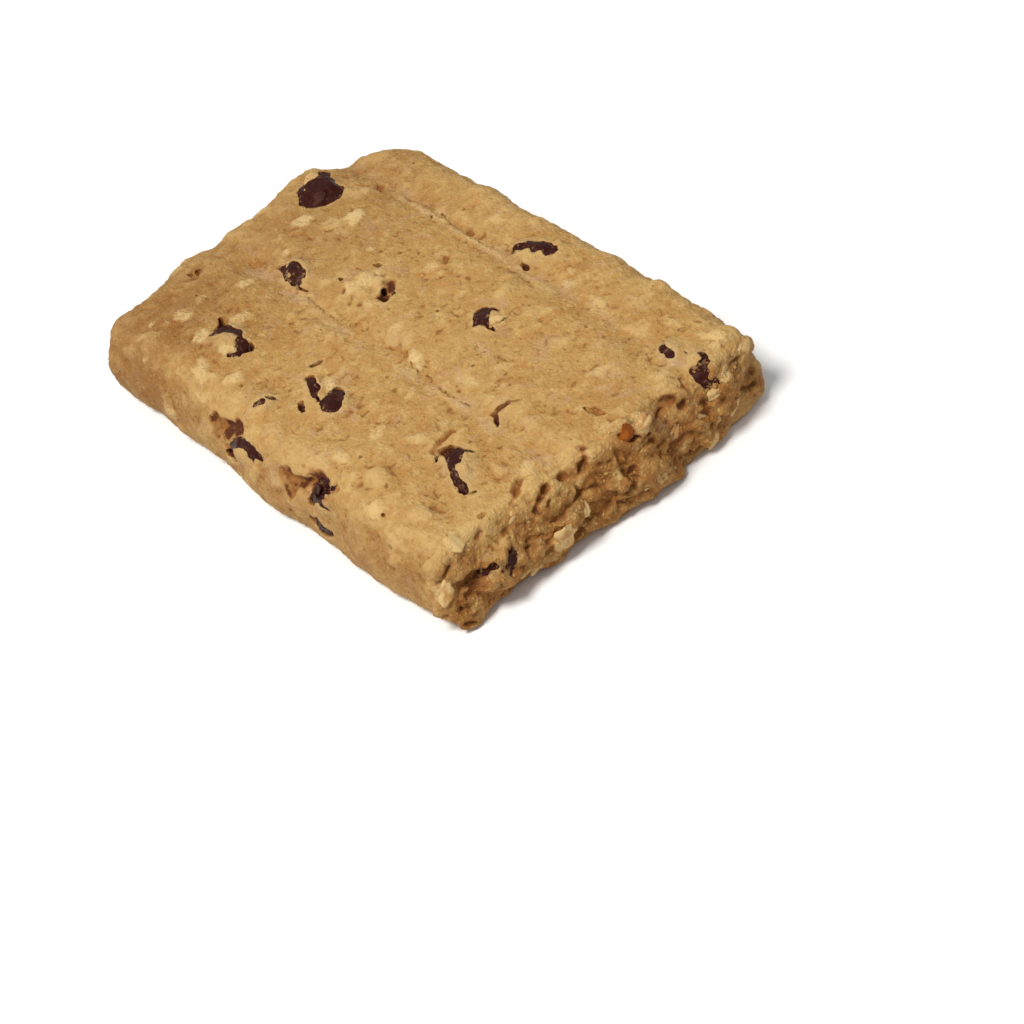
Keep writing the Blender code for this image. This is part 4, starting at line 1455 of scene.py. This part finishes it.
def landing(place):
    """Where a bit that comes down on the crust at a place lands, and the crust's normal."""
    spot, normal, _, _ = Workshop.crust.find_nearest(place)
    start = spot + normal * 3.0 * MM
    hits = [tree.ray_cast(start, -normal)[0] for tree in Workshop.surfaces]
    hits = [hit for hit in hits if hit is not None]
    return min(hits, key=lambda hit: (hit - start).length), normal


def add_flake(body, spot, normal, turn, length, width, thickness, sink):
    """Add one flat, ragged oval flake with a bend, laid on the skin."""
    flake = bmesh.new()
    bmesh.ops.create_icosphere(flake, subdivisions=3, radius=1.0)
    place = spot - normal * sink
    for vert in flake.verts:
        across, along = vert.co.y, vert.co.x
        turned = math.atan2(across, along)
        edge = 1.0 + 0.13 * math.sin(3.1 * turned + length * 9000)
        edge += 0.08 * math.sin(7.3 * turned + width * 7000)
        vert.co.x *= edge * length / 2
        vert.co.y *= edge * width / 2
        top = vert.co.z > 0
        vert.co.z *= thickness / 2
        crease = math.exp(-((across / 0.22) ** 2)) * thickness * 0.30
        vert.co.z += (along**2 * 0.10 - across**2 * 0.12) * width - (crease if top else 0.0)
        vert.co = turn @ vert.co + place
    add_to(body, flake)


def scatter_weight(centres, normals):
    """Flakes and crumbs lie thickest on the rough end, then on the sides."""
    end = np.clip((centres[:, 0] - (HALF_LENGTH - 4.5 * MM)) / (2.5 * MM), 0, 1)
    side = np.clip(1.0 - np.abs(normals[:, 2]), 0, 1)
    return (0.02 + 1.6 * end + 0.16 * side) * (centres[:, 2] > 1.0 * MM)


def make_flakes(settings):
    """The loose oat flakes and the pale bits, as one piece."""
    picker = np.random.default_rng(19)
    body = bmesh.new()
    tree = Workshop.crust
    smooth = skin_tree(Workshop.skin)
    for place, length, width, turn, lean, sink in SET_FLAKES:
        spot, _, _, _ = tree.find_nearest(Vector(place) * MM)
        _, normal, _, _ = smooth.find_nearest(spot)
        lay = facing(normal, math.radians(turn)) @ Matrix.Rotation(math.radians(lean), 3, "X")
        add_flake(body, spot, normal, lay, length * MM, width * MM, FLAKE_THICKNESS, sink * MM)
    for place, length, width, thick, turn in CHIP_BITS:
        spot, normal = landing(Vector(place) * MM)
        lay = facing(normal, math.radians(turn))
        add_flake(body, spot, normal, lay, length * MM, width * MM, thick * MM, thick * 0.1 * MM)
    spots, normals = random_skin_spots(Workshop.skin, settings.count, picker, scatter_weight)
    for spot, normal in zip(spots, normals):
        spot, _, _, _ = tree.find_nearest(Vector(spot))
        _, normal, _, _ = smooth.find_nearest(spot)
        length = picker.uniform(1.3, 2.8) * MM
        width = length * picker.uniform(0.5, 0.8)
        rough = spot.x > HALF_LENGTH - 3.5 * MM
        lean = picker.uniform(-0.45, 0.45) if rough else picker.uniform(-0.12, 0.12)
        way = Vector((0.0, 1.0, picker.uniform(-1.2, 0.6)))
        lay = lying_along(normal, way) @ Matrix.Rotation(lean, 3, "X")
        sink = (0.32 if rough else 0.24) * MM
        add_flake(body, spot, normal, lay, length, width, picker.uniform(0.4, 0.6) * MM, sink)
    return finished_bits("oat_flakes", body, 0.06 * MM, 0.6 * MM, oat_material(settings))


def make_nuts(settings):
    """The nut bits, as one piece."""
    picker = np.random.default_rng(23)
    body = bmesh.new()
    for place, half_sizes, sink in NUT_BITS:
        spot, normal, _, _ = Workshop.crust.find_nearest(Vector(place) * MM)
        turn = facing(normal, picker.uniform(0, FULL_TURN))
        add_broken_bit(body, spot - normal * sink * MM, Vector(half_sizes) * MM, turn, picker)
    grid = voxelled(mesh_from(body, "nuts"), NUT_GRID)
    body = bmesh.new()
    body.from_mesh(grid)
    return finished_bits("nut_bits", body, 0.10 * MM, 0.8 * MM, nut_material(settings))


def add_broken_bit(body, place, half_sizes, turn, picker):
    """Add an ellipsoid with flat broken faces to a bmesh."""
    bit = bmesh.new()
    bmesh.ops.create_icosphere(bit, subdivisions=3, radius=1.0)
    for _ in range(6):
        way = Vector(picker.normal(size=3)).normalized()
        parts = [*bit.verts, *bit.edges, *bit.faces]
        place_of_cut = way * picker.uniform(0.55, 0.8)
        bmesh.ops.bisect_plane(
            bit, geom=parts, plane_co=place_of_cut, plane_no=way, clear_outer=True
        )
        bmesh.ops.holes_fill(bit, edges=bit.edges)
    scale = Matrix.Diagonal((*half_sizes, 1.0))
    bit.transform(Matrix.Translation(place) @ turn.to_4x4() @ scale)
    add_to(body, bit)


def make_crumbs(settings):
    """The small loose crumbs, as one piece."""
    picker = np.random.default_rng(29)
    body = bmesh.new()
    spots, normals = random_skin_spots(Workshop.skin, settings.crumbs, picker, scatter_weight)
    for spot, normal in zip(spots, normals):
        spot, normal, _, _ = Workshop.crust.find_nearest(Vector(spot))
        size = picker.uniform(0.12, 0.32) * MM
        shape = (size, size * picker.uniform(0.5, 0.9), size * picker.uniform(0.4, 0.7))
        turn = facing(normal, picker.uniform(0, FULL_TURN))
        turn = turn @ Matrix.Rotation(picker.uniform(-0.5, 0.5), 3, "X")
        blob(body, spot - normal * size * 0.25, shape, turn, 2)
    return finished_bits("crumbs", body, 0.11 * MM, 0.40 * MM, crumb_bit_material())


def finished_bits(name, body, ragged, grain, material):
    """A piece of many small bits, roughened and given its finish."""
    mesh = mesh_from(body, name)
    points = points_of(mesh)
    normals = normals_of(mesh)
    points = points + normals * (ragged * layered_noise(points, grain, 151, 2))[:, None]
    points = held_down(points)
    points[:, 2] = np.maximum(points[:, 2], 0.0)
    set_points(mesh, points)
    mesh.materials.append(material)
    mesh.shade_smooth()
    return new_object(name, mesh)


# ---------------------------------------------------------------- stage


def make_floor(settings):
    """A plain pale floor just under the biscuit."""
    body = bmesh.new()
    bmesh.ops.create_grid(body, x_segments=1, y_segments=1, size=FLOOR_REACH)
    mesh = mesh_from(body, "floor")
    nodes = Nodes("pale_floor", settings.floor)
    mesh.materials.append(nodes.finish(0.9, Specular_IOR_Level=0.2))
    floor = new_object("floor", mesh)
    floor.location.z = CAD_LOW[2] - FLOOR_GAP


def make_lights():
    """A broad soft key from above and from -Y, and an even sky."""
    data = bpy.data.lights.new("key", "AREA")
    data.shape = "DISK"
    data.size = KEY_SIZE
    data.energy = KEY_POWER
    data.color = KEY_COLOUR
    light = new_object("key", data)
    light.location = KEY_PLACE
    light.rotation_euler = Vector(KEY_PLACE).to_track_quat("Z", "Y").to_euler()
    world = bpy.data.worlds.new("soft_sky")
    world.use_nodes = True
    background = world.node_tree.nodes["Background"]
    background.inputs["Color"].default_value = (1.0, 1.0, 1.0, 1.0)
    background.inputs["Strength"].default_value = SKY_STRENGTH
    bpy.context.scene.world = world


def make_camera(settings):
    """The camera looks down over the near corner of the rough end."""
    flat = math.cos(settings.elevation)
    way_x, way_y = math.sin(settings.azimuth) * flat, -math.cos(settings.azimuth) * flat
    back = Vector((way_x, way_y, math.sin(settings.elevation)))
    aim = Vector(CAMERA_AIM) * MM
    up = Vector((0.0, 0.0, 1.0))
    up = (up - back * up.dot(back)).normalized()
    up = Matrix.Rotation(settings.roll, 3, back) @ up
    right = up.cross(back)
    data = bpy.data.cameras.new("camera")
    data.lens = settings.lens
    data.sensor_width = 36.0
    data.clip_start = 0.01
    data.clip_end = 20.0
    camera = new_object("camera", data)
    turn = Matrix((right, up, back)).transposed().to_4x4()
    camera.matrix_world = Matrix.Translation(aim + back * settings.distance) @ turn
    bpy.context.scene.camera = camera


# ---------------------------------------------------------------- operators and panel


def hook_up(piece, slot, *nodes):
    """Hang the piece on the root and hide the solids it stands for. The slot is not used."""
    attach(piece, "root")
    if nodes:
        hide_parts(*nodes)


def need_crust():
    """Stop if nothing can be set into the dough yet."""
    if Workshop.crust is None:
        raise RuntimeError("the dough is made before what is set into it")


class BISCUIT_OT_dough(bpy.types.Operator):
    """Build the baked crumb with its openings"""

    bl_idname = "biscuit.dough"
    bl_label = "Dough"

    def execute(self, context):
        piece = make_dough(context.scene.biscuit_dough)
        hook_up(piece, "baked_dough", DOUGH_NODE)
        return {"FINISHED"}


class BISCUIT_OT_chips(bpy.types.Operator):
    """Build the chocolate chips"""

    bl_idname = "biscuit.chips"
    bl_label = "Chocolate chips"

    def execute(self, context):
        need_crust()
        settings = context.scene.biscuit_chocolate
        material = chocolate_material(settings)
        for name in CHIP_NODES:
            hook_up(make_chip(name, settings, material), "dark_chocolate", name)
        return {"FINISHED"}


class BISCUIT_OT_flakes(bpy.types.Operator):
    """Set the oat flakes, nut bits and crumbs into the crust"""

    bl_idname = "biscuit.flakes"
    bl_label = "Flakes, nuts and crumbs"

    def execute(self, context):
        need_crust()
        settings = context.scene.biscuit_flakes
        hook_up(make_flakes(settings), "oat_flake")
        hook_up(make_nuts(settings), "toasted_nut")
        hook_up(make_crumbs(settings), "baked_dough")
        return {"FINISHED"}


class BISCUIT_OT_stage(bpy.types.Operator):
    """Set up the floor, the lights and the camera"""

    bl_idname = "biscuit.stage"
    bl_label = "Stage"

    def execute(self, context):
        settings = context.scene.biscuit_stage
        make_floor(settings)
        make_lights()
        make_camera(settings)
        context.scene.view_settings.view_transform = "Standard"
        return {"FINISHED"}


class BISCUIT_PT_panel(bpy.types.Panel):
    """Lists the biscuit's pieces in the sidebar"""

    bl_label = "Breakfast biscuit"
    bl_idname = "BISCUIT_PT_panel"
    bl_space_type = "VIEW_3D"
    bl_region_type = "UI"
    bl_category = "Biscuit"

    def draw(self, context):
        for operator in OPERATORS:
            self.layout.operator(operator.bl_idname)


OPERATORS = (BISCUIT_OT_stage, BISCUIT_OT_dough, BISCUIT_OT_chips, BISCUIT_OT_flakes)
SETTINGS = {
    "biscuit_dough": BiscuitDoughSettings,
    "biscuit_chocolate": BiscuitChocolateSettings,
    "biscuit_flakes": BiscuitFlakeSettings,
    "biscuit_stage": BiscuitStageSettings,
}


def register():
    for group in SETTINGS.values():
        bpy.utils.register_class(group)
    for operator in OPERATORS:
        bpy.utils.register_class(operator)
    bpy.utils.register_class(BISCUIT_PT_panel)
    for name, group in SETTINGS.items():
        setattr(bpy.types.Scene, name, bpy.props.PointerProperty(type=group))


def unregister():
    for name in SETTINGS:
        delattr(bpy.types.Scene, name)
    bpy.utils.unregister_class(BISCUIT_PT_panel)
    for operator in reversed(OPERATORS):
        bpy.utils.unregister_class(operator)
    for group in reversed(SETTINGS.values()):
        bpy.utils.unregister_class(group)


def main():
    register()
    bpy.ops.biscuit.stage()
    bpy.ops.biscuit.dough()
    bpy.ops.biscuit.chips()
    bpy.ops.biscuit.flakes()


if __name__ == "__main__":
    main()
